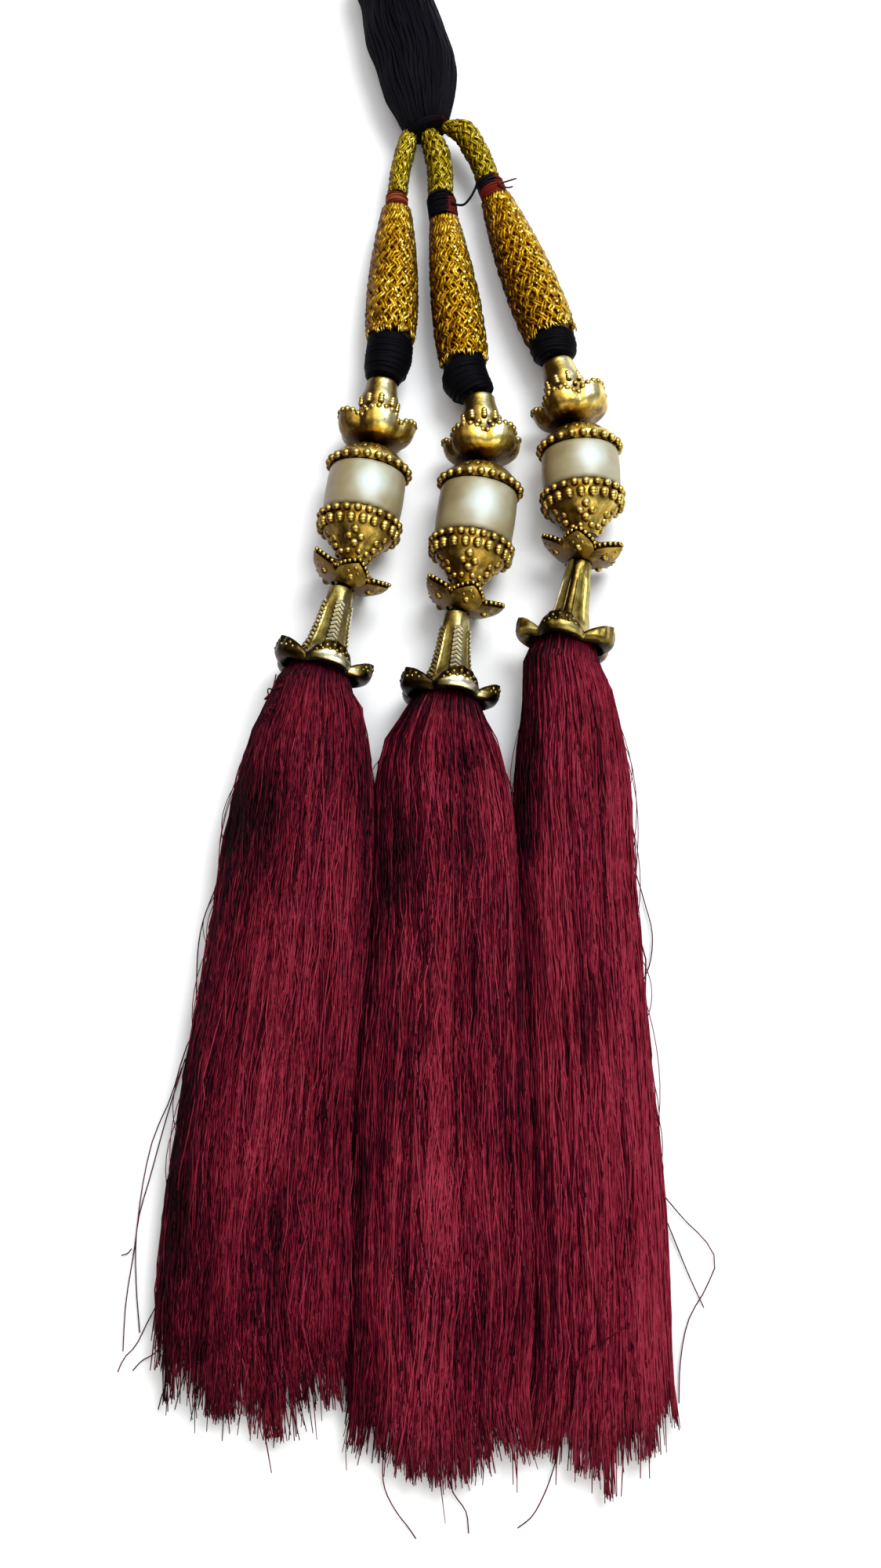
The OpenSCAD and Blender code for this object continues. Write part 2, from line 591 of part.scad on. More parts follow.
head_bundle();
left_cord();
left_binding();
left_bulb();
left_wrap();
left_collar();
left_upper_flower();
left_upper_cap();
left_pearl();
left_lower_cap();
left_lower_flower();
left_trumpet();
left_core();
left_tassel();
middle_cord();
middle_binding();
middle_bulb();
middle_wrap();
middle_collar();
middle_upper_flower();
middle_upper_cap();
middle_pearl();
middle_lower_cap();
middle_lower_flower();
middle_trumpet();
middle_core();
middle_tassel();
right_cord();
right_binding();
right_bulb();
right_wrap();
right_collar();
right_upper_flower();
right_upper_cap();
right_pearl();
right_lower_cap();
right_lower_flower();
right_trumpet();
right_core();
right_tassel();
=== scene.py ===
import math

import bpy
import numpy as np
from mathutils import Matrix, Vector


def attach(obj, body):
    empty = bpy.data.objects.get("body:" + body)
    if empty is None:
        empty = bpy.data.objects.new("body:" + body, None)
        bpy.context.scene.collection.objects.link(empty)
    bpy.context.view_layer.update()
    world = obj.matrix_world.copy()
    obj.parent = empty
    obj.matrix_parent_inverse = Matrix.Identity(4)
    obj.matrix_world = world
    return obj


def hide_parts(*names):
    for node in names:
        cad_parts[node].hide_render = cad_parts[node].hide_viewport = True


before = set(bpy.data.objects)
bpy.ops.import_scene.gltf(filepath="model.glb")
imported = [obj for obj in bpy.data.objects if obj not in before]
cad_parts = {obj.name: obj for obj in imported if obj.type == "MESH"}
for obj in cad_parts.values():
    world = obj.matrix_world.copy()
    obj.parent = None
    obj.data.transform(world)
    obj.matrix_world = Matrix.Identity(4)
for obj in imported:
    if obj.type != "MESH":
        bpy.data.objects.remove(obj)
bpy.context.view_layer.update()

# Lengths below are in millimetres and angles in degrees, as in the model's source.
# A mesh is scaled to metres when it is made.
MM = 0.001
LEFT, MIDDLE, RIGHT = 0, 1, 2
STRANDS = ("left", "middle", "right")
# Seeds of the random draws; a strand's number is added
SEEDS = {"head": 7, "tassel": 40, "bulb": 60, "cord": 80, "binding": 100, "wrap": 120}

# Camera, at the photograph's angle

CAMERA_AIM = (4.3, -25.8, 6)
CAMERA_ELEVATION = 76
CAMERA_DISTANCE = 288
CAMERA_LENS = 38


def make_camera():
    data = bpy.data.cameras.new("camera")
    data.sensor_fit = "AUTO"
    data.sensor_width = 36
    data.lens = CAMERA_LENS
    data.clip_start = 0.01
    camera = bpy.data.objects.new("camera", data)
    bpy.context.scene.collection.objects.link(camera)
    lift = math.radians(CAMERA_ELEVATION)
    back = Vector((0, -math.cos(lift), math.sin(lift)))
    camera.location = (Vector(CAMERA_AIM) + back * CAMERA_DISTANCE) * MM
    camera.rotation_euler = (-back).to_track_quat("-Z", "Y").to_euler()
    bpy.context.scene.camera = camera


make_camera()

# Sizes repeated from the model's source

CORD_R = 2.5
BINDING_R = 2.6
BULB_R = 5.0
BULB_NECK_R = 2.8
WRAP_R = 4.35
COLLAR_R = 2.75
UPPER_PETAL_R = 7.3
LOWER_PETAL_R = 7.9
CAP_RIM_R = 7.2
RIM_BEAD_R = 0.85
RIM_BEADS = 20
FOOT_R = 9.0
PETALS = 5
HALF_PETAL = 180 / PETALS
PEARL_R = 7.1
PEARL_H = 8.5
BORE_R = 1.3
GAP = 0.3
SEAT_R = 2.2
CUP_LEN = 13.1
CUP_TILT = 1.2
GROUP_TILT = 0.3
UPPER_CAP_H = 4.8
LOWER_CAP_H = 8.4
FLOWER_LEN = 4.2

# Collar top, headings of collar, pearl group, lower flower and trumpet, tilt of
# the trumpet, turn of its petals, how much taller the pearl is
STRINGS = [
    ((-6.4, 49.8, 7.85), -7, -8.5, -22, -13, 2.5, 18, 0),
    ((11.4, 46.8, 7.85), 3, -8, -18, -6.5, 2.5, 15, 1.1),
    ((25.7, 53.9, 7.85), 16, 2, -12, -11, 2, -12, -1.1),
]
# Bulb's upper end, length, heading, tilt, radius share, binding's length and
# radius share, bow of the wrap
BULBS = [
    ((-4.1, 86.7, 5.9), 27, -1.9, 1, 1.02, 3, 0.83, 0.3),
    ((5, 84.5, 5.9), 30, 7, 1, 1, 4.9, 1.08, -1.1),
    ((14.9, 89.1, 5.9), 30.6, 19, 1, 1.07, 4, 1, 0),
]
# Middle of a section, half width, half height, heading
BUNDLE_ROWS = [
    (-7.6, 143.3, 7, 3.4, 3.2, 12),
    (-7.4, 142.1, 7, 5.4, 5.2, 12),
    (-6.7, 139.5, 7, 6.6, 6.3, 14),
    (-4.6, 132.9, 7, 7, 6.9, 16),
    (-3, 125.8, 7, 7.8, 7, 18),
    (-1.6, 121.5, 7, 7.8, 7, 14),
    (-0.5, 118, 7, 7.8, 7, 8),
    (0.3, 112, 6.9, 7, 6.7, 6),
    (0.9, 108.7, 6.8, 5.8, 5.7, 8),
    (1.4, 104.5, 6.8, 4.3, 4.3, 9),
]
# Middle of a section, radius share, heading
CORD_ROWS = [
    [(-1.4, 103.7, 6.8, 0.48, 9), (-1.8, 102.3, 6.7, 0.68, -4),
     (-2.2, 100.4, 6.6, 0.78, -12), (-3.2, 96, 6.3, 0.8, -10)],
    [(1.45, 104.15, 6.8, 0.48, 9), (2.3, 102.3, 6.7, 0.82, 14),
     (3.3, 99.8, 6.5, 1.06, 12), (4.1, 96, 6.3, 1.06, 8)],
    [(4.3, 104.6, 6.8, 0.48, 9), (6.6, 104.3, 6.9, 0.8, 38), (8.4, 103.5, 6.9, 1, 42),
     (10.4, 100.5, 6.7, 1.06, 32), (12.4, 96.3, 6.4, 1, 24)],
]
# y of a section, left and right edge, underside and top; the last section is as wide as
# the threads' ends, which mingle with their neighbours past the solids
TASSEL_ROWS = [
    [(-12, -26.2, -9.6, 1.6, 14.6), (-18, -29, -8.2, 0.6, 13.8), (-28, -31.2, -7.4, 0, 12.8),
     (-42, -33.4, -7.6, 0, 11.8), (-62, -36, -8.8, 0, 11), (-82, -38.9, -10.3, 0, 10.2),
     (-105, -40.5, -10.8, 0, 9), (-122, -41.2, -10.8, 0, 7), (-126, -41.5, -10.3, 0, 5)],
    [(-16, -4, 13, 1.6, 14.6), (-22, -6.4, 15.2, 0.6, 13.8), (-32, -7, 16.8, 0, 12.8),
     (-46, -7.2, 17.6, 0, 11.8), (-65, -8.4, 18.4, 0, 11), (-85, -9.8, 18.9, 0, 10.2),
     (-108, -10.2, 19.1, 0, 9), (-131, -10, 17.8, 0, 7), (-136, -11, 18.9, 0, 5)],
    [(-7.5, 19, 33.7, 1.6, 14.2), (-15, 18.4, 35.6, 0.6, 13.6), (-26, 17.4, 37, 0, 12.6),
     (-40, 17.9, 37.4, 0, 11.8), (-60, 18.8, 38.6, 0, 11), (-80, 19.4, 39.9, 0, 10.2),
     (-103, 19.7, 40.9, 0, 9), (-126, 19.4, 41.2, 0, 7), (-133, 18.2, 41.9, 0, 5)],
]
# y of the tassels' ends, and the height of their middle above the floor there
TIP_Y = (-134, -144.5, -143.5)
TIP_LEVEL = 1.3
NECK_ROWS = [(2, 12.2), (3.1, 13.6), (4.4, 14.8), (5.7, 15.8), (6.4, 16.6), (6.7, 18.3)]
WRAP_ROWS = [(0, 0.92), (0.14, 1), (0.48, 1.02), (0.76, 0.94), (0.92, 0.8), (1, 0.66)]
BULB_CREST = 0.8
BULB_END = 0.94


# Directions, soft steps, and places on a strand

def way(heading, tilt=0):
    """Unit step along a heading, 0 toward -Y and positive toward +X, rising by a tilt."""
    h, t = math.radians(heading), math.radians(tilt)
    return np.array([math.sin(h) * math.cos(t), -math.cos(h) * math.cos(t), math.sin(t)])


def swing(angle, x, u):
    """Steps that turn from x at angle 0 to u a quarter turn on, angles in radians."""
    return np.cos(angle)[..., None] * x + np.sin(angle)[..., None] * u


def circle(columns):
    """Even angles round a ring, as one row."""
    return np.linspace(0, 360, columns, endpoint=False)[None, :]


def wrapped(angle):
    """The same angle between -180 and 180."""
    return (angle + 180) % 360 - 180


def fade(value, start, span):
    """Goes from 0 at the start to 1 a span further on; a negative span goes the other way."""
    return np.clip((value - start) / span, 0, 1)


def bell(value, middle, half):
    """1 at the middle, falling off over the half width on both sides."""
    return np.exp(-((value - middle) / half) ** 2)


def ripple(turns):
    return np.sin(2 * np.pi * turns)


def even(count):
    """Even shares from 0 to 1."""
    return np.linspace(0, 1, count)


class Spot:
    """A piece's own frame: angles turn from across (0) to up (90), depth runs down the strand."""

    def __init__(self, origin, heading, tilt, turn=0.0):
        self.origin = np.array(origin, float)
        self.x, self.d = way(heading + 90), way(heading, tilt)
        self.u = np.cross(self.d, self.x)
        self.turn = turn

    def at(self, angle, radius, depth):
        angle, radius, depth = np.broadcast_arrays(np.radians(angle), radius, depth)
        return self.origin + radius[..., None] * swing(angle, self.x, self.u) + depth[..., None] * self.d

    def petal(self, i):
        """Angle of petal i, the first one toward the viewer."""
        return 90 - 2 * HALF_PETAL * i - self.turn

    def petal_share(self, angle):
        """Angle from the nearest petal's middle, as a share of half a petal, -1 to 1."""
        return ((angle - self.petal(0) + HALF_PETAL) % (2 * HALF_PETAL) - HALF_PETAL) / HALF_PETAL


def step(from_heading, to_heading, tilt):
    """From the end of one piece to the start of the next, wider where the strand bends."""
    gap = GAP + SEAT_R * math.sin(math.radians(abs(from_heading - to_heading)))
    return gap * way((from_heading + to_heading) / 2, tilt)


def strand_spots(s):
    """Frames of the bulb, collar, pearl group, lower flower and trumpet of a strand."""
    bulb_top, _, bulb_h, bulb_tilt = BULBS[s][:4]
    top, collar_h, group_h, flower_h, trumpet_h, tilt, turn, taller = STRINGS[s]
    pearl_h = PEARL_H + taller
    cup_end = np.array(top) + CUP_LEN * way(collar_h, CUP_TILT)
    group_top = cup_end + step(collar_h, group_h, CUP_TILT)
    group_len = UPPER_CAP_H + pearl_h + LOWER_CAP_H + 2 * GAP
    group_end = group_top + group_len * way(group_h, GROUP_TILT)
    flower_top = group_end + step(group_h, flower_h, GROUP_TILT)
    flower_end = flower_top + FLOWER_LEN * way(flower_h)
    trumpet_top = flower_end + step(flower_h, trumpet_h, 0)
    return {
        "bulb": Spot(bulb_top, bulb_h, bulb_tilt),
        "cup": Spot(top, collar_h, CUP_TILT),
        "group": Spot(group_top, group_h, GROUP_TILT),
        "flower": Spot(flower_top, flower_h, 0, turn),
        "trumpet": Spot(trumpet_top, trumpet_h, tilt, turn),
        "pearl_h": pearl_h,
    }


SPOTS = [strand_spots(s) for s in range(3)]


def run_along(points):
    """Length of a line of points up to each of them."""
    return np.concatenate([[0], np.cumsum(np.linalg.norm(np.diff(points, axis=0), axis=1))])


def spline(rows, shares):
    """Smooth curve through rows at shares of its length; their first two or three numbers are a
    place, and any others go along with it."""
    rows = np.asarray(rows, float)
    along = run_along(rows[:, :3])
    slope = np.gradient(rows, along, axis=0)
    t = np.asarray(shares, float) * along[-1]
    k = np.clip(np.searchsorted(along, t, side="right") - 1, 0, len(rows) - 2)
    span = (along[k + 1] - along[k])[..., None]
    u = (t - along[k])[..., None] / span
    from_part = (2 * u**3 - 3 * u**2 + 1) * rows[k] + (u**3 - 2 * u**2 + u) * slope[k] * span
    to_part = (3 * u**2 - 2 * u**3) * rows[k + 1] + (u**3 - u**2) * slope[k + 1] * span
    return from_part + to_part


def unit(v):
    return v / np.linalg.norm(v, axis=-1, keepdims=True)


# Mesh building

def ring_quads(rings, columns):
    """Faces between rings of points that follow each other."""
    a = np.arange((rings - 1) * columns).reshape(-1, columns)
    b = np.roll(a, -1, axis=1)
    return np.stack([a, b, b + columns, a + columns], -1).reshape(-1, 4)


def pointed_faces(rings, columns):
    """Faces of rings of points that have one more point beyond each end."""
    j = np.arange(columns)
    after = (j + 1) % columns
    low, first = (rings - 1) * columns, rings * columns
    ends = [(first + 0 * j, after, j), (first + 1 + 0 * j, low + j, low + after)]
    return ring_quads(rings, columns), np.concatenate([np.stack(end, -1) for end in ends])


def inside_out(points, quads):
    """Whether the faces of a closed shell look inward, by the sign of its volume."""
    p = points[quads] - points.mean(0)
    return (p[:, 0] * (np.cross(p[:, 1], p[:, 2]) + np.cross(p[:, 2], p[:, 3]))).sum() < 0


class Soup:
    """Collects closed shells of points and faces, each point with a tone, into one mesh."""

    def __init__(self):
        self.points, self.quads, self.tris, self.tones = [], [], [], []
        self.count = 0

    def add(self, points, quads, tris, tone):
        points = np.asarray(points, float).reshape(-1, 3)
        self.points.append(points)
        self.quads.append(quads.reshape(-1, 4) + self.count)
        if tris is not None:
            self.tris.append(tris.reshape(-1, 3) + self.count)
        self.tones.append(np.broadcast_to(np.ravel(tone), len(points)))
        self.count += len(points)

    def tubes(self, paths, radii, sides, tone, ref=(0, 0, 1)):
        """Round tubes along paths (tubes, rings, 3), or along one path; ref is never along it.
        The tone is one for all, one for each tube or one for each ring."""
        paths = np.asarray(paths, float)
        if paths.ndim == 2:
            paths = paths[None]
        many, rings = paths.shape[:2]
        tangent = unit(np.gradient(paths, axis=1))
        first = unit(np.cross(tangent, np.asarray(ref, float)))
        second = np.cross(tangent, first)
        offset = swing(2 * np.pi * np.arange(sides) / sides, first[:, :, None], second[:, :, None])
        points = paths[:, :, None] + offset * np.broadcast_to(radii, (many, rings))[:, :, None, None]
        fan = np.arange(1, sides - 1)
        start = np.stack([0 * fan, fan + 1, fan], -1)
        caps = np.concatenate([start, start[:, [0, 2, 1]] + (rings - 1) * sides])
        base = np.arange(many)[:, None, None] * rings * sides
        tone = np.asarray(tone)
        full = np.broadcast_to(tone if tone.ndim == 2 else tone[..., None], (many, rings))
        self.add(points, base + ring_quads(rings, sides), base + caps, np.repeat(full, sides))

    def lattice(self, points, tone):
        """Closed torus-like lattice of points (rows, columns, 3), turned to face outward."""
        rows, columns = points.shape[:2]
        points = points.reshape(-1, 3)
        quads = ring_quads(rows + 1, columns) % len(points)
        self.add(points, quads[:, ::-1] if inside_out(points, quads) else quads, None, tone)

    def capped(self, rings, tone):
        """Closed tube through rings of points (rings, columns, 3), facing outward."""
        points = np.concatenate([rings.reshape(-1, 3), rings[:1].mean(1), rings[-1:].mean(1)])
        quads, tris = pointed_faces(*rings.shape[:2])
        if inside_out(points, quads):
            quads, tris = quads[:, ::-1], tris[:, ::-1]
        self.add(points, quads, tris, tone)

    def lathe(self, spot, rows, columns, shape=None, tone=0.5):
        """Revolves a closed outline of (radius, depth) rows; shape bends them by angle."""
        rows = np.asarray(rows, float)
        angle = circle(columns)
        radius, depth = rows[:, :1] + 0 * angle, rows[:, 1:2] + 0 * angle
        if shape is not None:
            radius, depth = shape(radius, depth, angle)
        self.lattice(spot.at(angle, radius, depth), tone)

    def balls(self, centres, radii, columns, rows, squash=None, tone=0.5):
        """Spheres, or ones flattened along squash = (direction, share)."""
        centres = np.asarray(centres, float).reshape(-1, 3)
        polar = np.pi * np.arange(1, rows)[:, None] / rows
        turn = 2 * np.pi * np.arange(columns) / columns
        ring = np.stack([np.sin(polar) * np.cos(turn), np.sin(polar) * np.sin(turn),
                         np.cos(polar) + 0 * turn], -1).reshape(-1, 3)
        body = np.concatenate([ring, [[0, 0, 1], [0, 0, -1]]])
        if squash is not None:
            direction, share = squash
            body = body - np.outer(body @ direction, direction) * (1 - share)
        points = centres[:, None] + body * np.broadcast_to(radii, len(centres))[:, None, None]
        quads, tris = pointed_faces(rows - 1, columns)
        base = np.arange(len(centres))[:, None, None] * len(body)
        tone = np.repeat(np.broadcast_to(tone, len(centres)), len(body))
        self.add(points, base + quads[:, [0, 3, 2, 1]], base + tris[:, [0, 2, 1]], tone)

    def build(self, name, finish, slot, *nodes, crease=180):
        """Makes the mesh, in metres, gives it its finish and body, and hides the CAD nodes it stands in for."""
        points = np.concatenate(self.points) * MM
        quads = np.concatenate(self.quads)
        tris = np.concatenate(self.tris) if self.tris else np.zeros((0, 3), int)
        mesh = bpy.data.meshes.new(name)
        mesh.vertices.add(len(points))
        mesh.vertices.foreach_set("co", points.astype(np.float32).ravel())
        mesh.loops.add(quads.size + tris.size)
        mesh.loops.foreach_set("vertex_index", np.concatenate([quads.ravel(), tris.ravel()]).astype(np.int32))
        mesh.polygons.add(len(quads) + len(tris))
        starts = np.concatenate([np.arange(len(quads)) * 4, quads.size + np.arange(len(tris)) * 3])
        mesh.polygons.foreach_set("loop_start", starts.astype(np.int32))
        mesh.update(calc_edges=True)
        mesh.attributes.new("tone", "FLOAT", "POINT").data.foreach_set(
            "value", np.concatenate(self.tones).astype(np.float32))
        mesh.shade_smooth()
        if crease < 180:
            mesh.set_sharp_from_angle(angle=math.radians(crease))
        mesh.materials.append(finish)
        piece = bpy.data.objects.new(name, mesh)
        bpy.context.scene.collection.objects.link(piece)
        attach(piece, "root")
        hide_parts(*nodes)


# Finishes

class Finish:
    """A node material: a principled shader with helpers for what feeds it."""

    def __init__(self, name, **values):
        self.material = bpy.data.materials.new(name)
        self.material.use_nodes = True
        self.tree = self.material.node_tree
        self.shader = self.tree.nodes["Principled BSDF"]
        coordinates = self.tree.nodes.new("ShaderNodeTexCoord")
        self.place, self.normal = coordinates.outputs["Object"], coordinates.outputs["Normal"]
        for label, value in values.items():
            self.feed(self.shader, label.replace("_", " "), value)

    def feed(self, made, label, value):
        """Links an output to a node's socket, or sets the socket to a constant."""
        if isinstance(value, bpy.types.NodeSocket):
            self.tree.links.new(value, made.inputs[label])
        else:
            made.inputs[label].default_value = value

    def node(self, kind, out, inputs, **settings):
        """Makes a node, feeds its sockets and gives back one of its outputs."""
        made = self.tree.nodes.new(kind)
        for key, value in settings.items():
            setattr(made, key, value)
        for label, value in inputs.items():
            self.feed(made, label, value)
        return made.outputs[out]

    def tone(self):
        return self.node("ShaderNodeAttribute", "Fac", {}, attribute_name="tone")

    def noise(self, size_mm, detail=2.0, rough=0.5, stretch=None):
        """Noise whose patches are about size_mm across, stretched along an axis if asked."""
        place = self.place
        if stretch is not None:
            place = self.node("ShaderNodeMapping", "Vector", {"Scale": stretch, "Vector": place})
        return self.node("ShaderNodeTexNoise", "Fac", {
            "Scale": 1 / (size_mm * MM), "Detail": detail, "Roughness": rough, "Vector": place})

    def math(self, operation, a, b):
        return self.node("ShaderNodeMath", "Value", {0: a, 1: b}, operation=operation)

    def multiply(self, a, b):
        """Product of two colours."""
        return self.node("ShaderNodeMix", 2, {0: 1.0, 6: a, 7: b}, data_type="RGBA", blend_type="MULTIPLY")

    def facing(self, direction):
        """How far the surface faces a direction, -1 to 1."""
        return self.node("ShaderNodeVectorMath", "Value", {0: self.normal, 1: direction}, operation="DOT_PRODUCT")

    def occlusion(self, reach_mm):
        """How open a place is, 0 in a crevice and 1 in the open."""
        return self.node("ShaderNodeAmbientOcclusion", "AO", {"Distance": reach_mm * MM}, samples=8)

    def blend(self, offset, *parts):
        """Sum of an offset and of (share, output) parts."""
        total = offset
        for share, part in parts:
            total = self.math("ADD", self.math("MULTIPLY", part, share), total)
        return total

    def ramp(self, factor, *stops):
        made = self.tree.nodes.new("ShaderNodeValToRGB")
        band = made.color_ramp.elements
        while len(band) < len(stops):
            band.new(0.5)
        for element, (place, colour) in zip(band, stops):
            element.position = place
            element.color = (*colour, 1)
        self.feed(made, "Fac", factor)
        return made.outputs["Color"]

    def colour(self, value):
        self.feed(self.shader, "Base Color", value)

    def roughness(self, factor, low, high):
        between = self.node("ShaderNodeMapRange", "Result", {"To Min": low, "To Max": high, "Value": factor})
        self.feed(self.shader, "Roughness", between)

    def bump(self, height, depth_mm, strength):
        normal = self.node("ShaderNodeBump", "Normal", {
            "Distance": depth_mm * MM, "Strength": strength, "Height": height})
        self.feed(self.shader, "Normal", normal)


# Toward the light: threads and metal are painted paler on the side facing it, as painted light, and darker away from
# it, as painted shade
LIT_SIDE = (0.66, 0.15, 0.74)


def silk_finish():
    f = Finish("silk", Specular_IOR_Level=0.035)
    patches = f.noise(9, 2, stretch=(1, 0.35, 1))
    streaks = f.noise(0.42, 3, 0.7, stretch=(1, 0.19, 1))
    # Besides the tone and the random patches and streaks, the shade holds a little painted light on faces toward the
    # light
    shade = f.blend(-0.655, (0.62, f.tone()), (0.66, patches), (1.0, streaks), (0.06, f.facing(LIT_SIDE)))
    f.colour(f.ramp(shade, (0.14, (0.006, 0.0004, 0.0015)), (0.36, (0.045, 0.0015, 0.0085)),
                    (0.58, (0.13, 0.0055, 0.015)), (0.95, (0.27, 0.026, 0.048))))
    f.roughness(f.tone(), 0.55, 0.38)
    return f.material


def thread_finish(name, stops, patch_mm, rough, grain_mm, **values):
    """Plain thread, coloured along stops by its tone."""
    f = Finish(name, **values)
    f.colour(f.ramp(f.tone(), *stops))
    f.roughness(f.noise(patch_mm), *rough)
    f.bump(f.noise(grain_mm, 3), 0.03, 0.6)
    return f.material


def zari_finish(name, *colours):
    """Metal thread; colours run from painted shade in the deep crevices to painted glints, over the thread's grain,
    and are paler on faces toward the light as painted light.
    """
    f = Finish(name, Metallic=1.0)
    grain = f.noise(0.6, 3, 0.65)
    shade = f.blend(-0.36, (0.6, f.tone()), (0.95, grain), (0.26, f.facing(LIT_SIDE)))
    colour = f.ramp(shade, *zip((0.2, 0.45, 0.68, 0.9, 1.0), colours))
    # Crevices darkened further as painted shade
    closed = f.ramp(f.occlusion(1.2), (0.0, (0.38, 0.2, 0.06)), (0.75, (1, 1, 1)))
    f.colour(f.multiply(colour, closed))
    f.roughness(grain, 0.32, 0.55)
    f.bump(f.noise(0.34, 3, 0.7), 0.12, 0.9)
    return f.material


def gold_finish(name, *colours):
    """Cast metal; colours run from brown tarnish and painted shade to the palest wear and painted highlights, paler
    on faces toward the light as painted light.
    """
    f = Finish(name, Metallic=1.0)
    shade = f.blend(-0.2, (0.6, f.noise(2.2, 4, 0.6)), (0.4, f.tone()), (0.42, f.facing(LIT_SIDE)))
    colour = f.ramp(shade, *zip((0.3, 0.48, 0.6, 0.72, 0.88), colours))
    # Hollows darkened: patina, and painted shade in the crevices
    closed = f.ramp(f.occlusion(2.2), (0.0, (0.14, 0.07, 0.018)), (0.45, (0.5, 0.34, 0.15)),
                    (0.9, (1, 1, 1)))
    f.colour(f.multiply(colour, closed))
    f.roughness(f.noise(0.9, 3), 0.28, 0.44)
    f.bump(f.noise(0.7, 3), 0.12, 0.6)
    return f.material


def pearl_finish():
    f = Finish("pearl", Specular_IOR_Level=0.5, Specular_Tint=(0.8, 0.93, 1.0, 1), Coat_Weight=0.2,
               Coat_Roughness=0.3, Subsurface_Weight=0.15, Subsurface_Scale=0.002)
    # Painted light and shade: paler on faces toward the light and tan on the far side, with a pale bluish painted
    # highlight where the tone is high, over a little random variation
    shade = f.blend(-0.1, (0.4, f.noise(5, 2)), (0.32, f.facing((0.4, 0, 0.9))), (0.6, f.tone()))
    f.colour(f.ramp(shade, (0.1, (0.14, 0.095, 0.035)), (0.34, (0.27, 0.22, 0.11)),
                    (0.6, (0.44, 0.45, 0.36)), (0.95, (0.52, 0.6, 0.6))))
    f.roughness(f.noise(1.5), 0.42, 0.52)
    return f.material


def core_finish():
    """Finish of the hidden thread inside the cast pieces, which keeps its solid."""
    f = Finish("core_thread", Specular_IOR_Level=0.3, Sheen_Weight=0.1)
    f.colour(f.ramp(f.noise(0.4, 2), (0.3, (0.01, 0.01, 0.012)), (0.7, (0.03, 0.03, 0.035))))
    f.roughness(f.noise(0.8), 0.55, 0.8)
    f.bump(f.noise(0.25, 3), 0.08, 0.6)
    return f.material


SILK = silk_finish()
BLACK = thread_finish("black_yarn", ((0.0, (0.0008, 0.0008, 0.0014)), (0.6, (0.0033, 0.0033, 0.0055)),
                                     (0.8, (0.012, 0.0015, 0.002)), (1.0, (0.09, 0.012, 0.008))),
                      0.6, (0.5, 0.75), 0.12, Specular_IOR_Level=0.04, Sheen_Weight=0.006,
                      Sheen_Roughness=0.5, Sheen_Tint=(0.6, 0.6, 1.0, 1))
ZARI = zari_finish("gold_thread", (0.055, 0.017, 0.0005), (0.19, 0.075, 0.001), (0.33, 0.165, 0.004),
                   (0.54, 0.36, 0.02), (0.86, 0.76, 0.26))
CORD_ZARI = zari_finish("gold_thread_cord", (0.045, 0.02, 0.0005), (0.16, 0.095, 0.001),
                        (0.27, 0.185, 0.004), (0.4, 0.32, 0.025), (0.62, 0.55, 0.14))
RED = thread_finish("red_thread", ((0.0, (0.005, 0.003, 0.004)), (0.5, (0.12, 0.008, 0.004)),
                                   (1.0, (0.34, 0.13, 0.03))), 0.4, (0.4, 0.65), 0.1, Specular_IOR_Level=0.08)
GOLD = gold_finish("cast_gold", (0.1, 0.052, 0.01), (0.42, 0.265, 0.045), (0.6, 0.435, 0.09),
                   (0.78, 0.63, 0.2), (0.94, 0.87, 0.52))
OLIVE_GOLD = gold_finish("cast_gold_olive", (0.02, 0.011, 0.003), (0.22, 0.15, 0.03), (0.4, 0.31, 0.08),
                         (0.58, 0.5, 0.19), (0.94, 0.91, 0.66))
PEARL = pearl_finish()
CORE = core_finish()


# Tassels: many fine threads over a dark core

THREADS = 950
THREAD_RINGS = 24
THREAD_R = 0.17
CLUMPS = 46
UPPER_SHARE = 0.76
NECK_START = 12.6
# Where most threads end at a tassel's left side, middle and right side
THREAD_ENDS = [(-125, -131.5, -128.5), (-135, -140.5, -135), (-134.5, -140.5, -131)]
# Painted shade and painted light in the silk: x, y, half width, half length, depth of shade, negative where light is
# painted
PAINTED_SHADE_AND_LIGHT_PLACES = [
    [(-25.5, -31, 4.6, 9, 0.38), (-32.5, -34, 2.4, 12, 0.35), (-24.5, -12, 2, 3, 0.5), (-31, -112, 9, 17, 0.24),
     (-39, -108, 3, 24, 0.25), (-22.5, -101, 1.6, 10, 0.3), (-8.6, -38, 1.6, 20, 0.4), (-19, -24, 12, 13, 0.1),
     (-20, -70, 5, 14, -0.1), (-38, -74, 2.6, 34, 0.22)],
    [(-1.6, -39.5, 3.4, 8.5, 0.5), (7.8, -37, 4, 4.4, 0.45), (-6.6, -36, 1.6, 19, 0.4), (7.4, -21.8, 2.4, 2.2, 0.6),
     (12.4, -30.5, 2.8, 4, -0.26), (-9.8, -100, 2, 40, 0.3), (11, -118, 1.4, 10, 0.25), (4, -100, 6, 12, -0.1),
     (14.6, -17, 2, 7, 0.2), (18, -60, 1.2, 50, 0.22)],
    [(18.4, -23, 3.1, 15, 0.85), (26.5, -22, 3, 8, -0.15), (26, -90, 1.4, 14, 0.2), (19.2, -90, 1.4, 40, 0.25),
     (21, -118, 3, 10, 0.2), (34, -80, 4, 24, -0.08)],
]
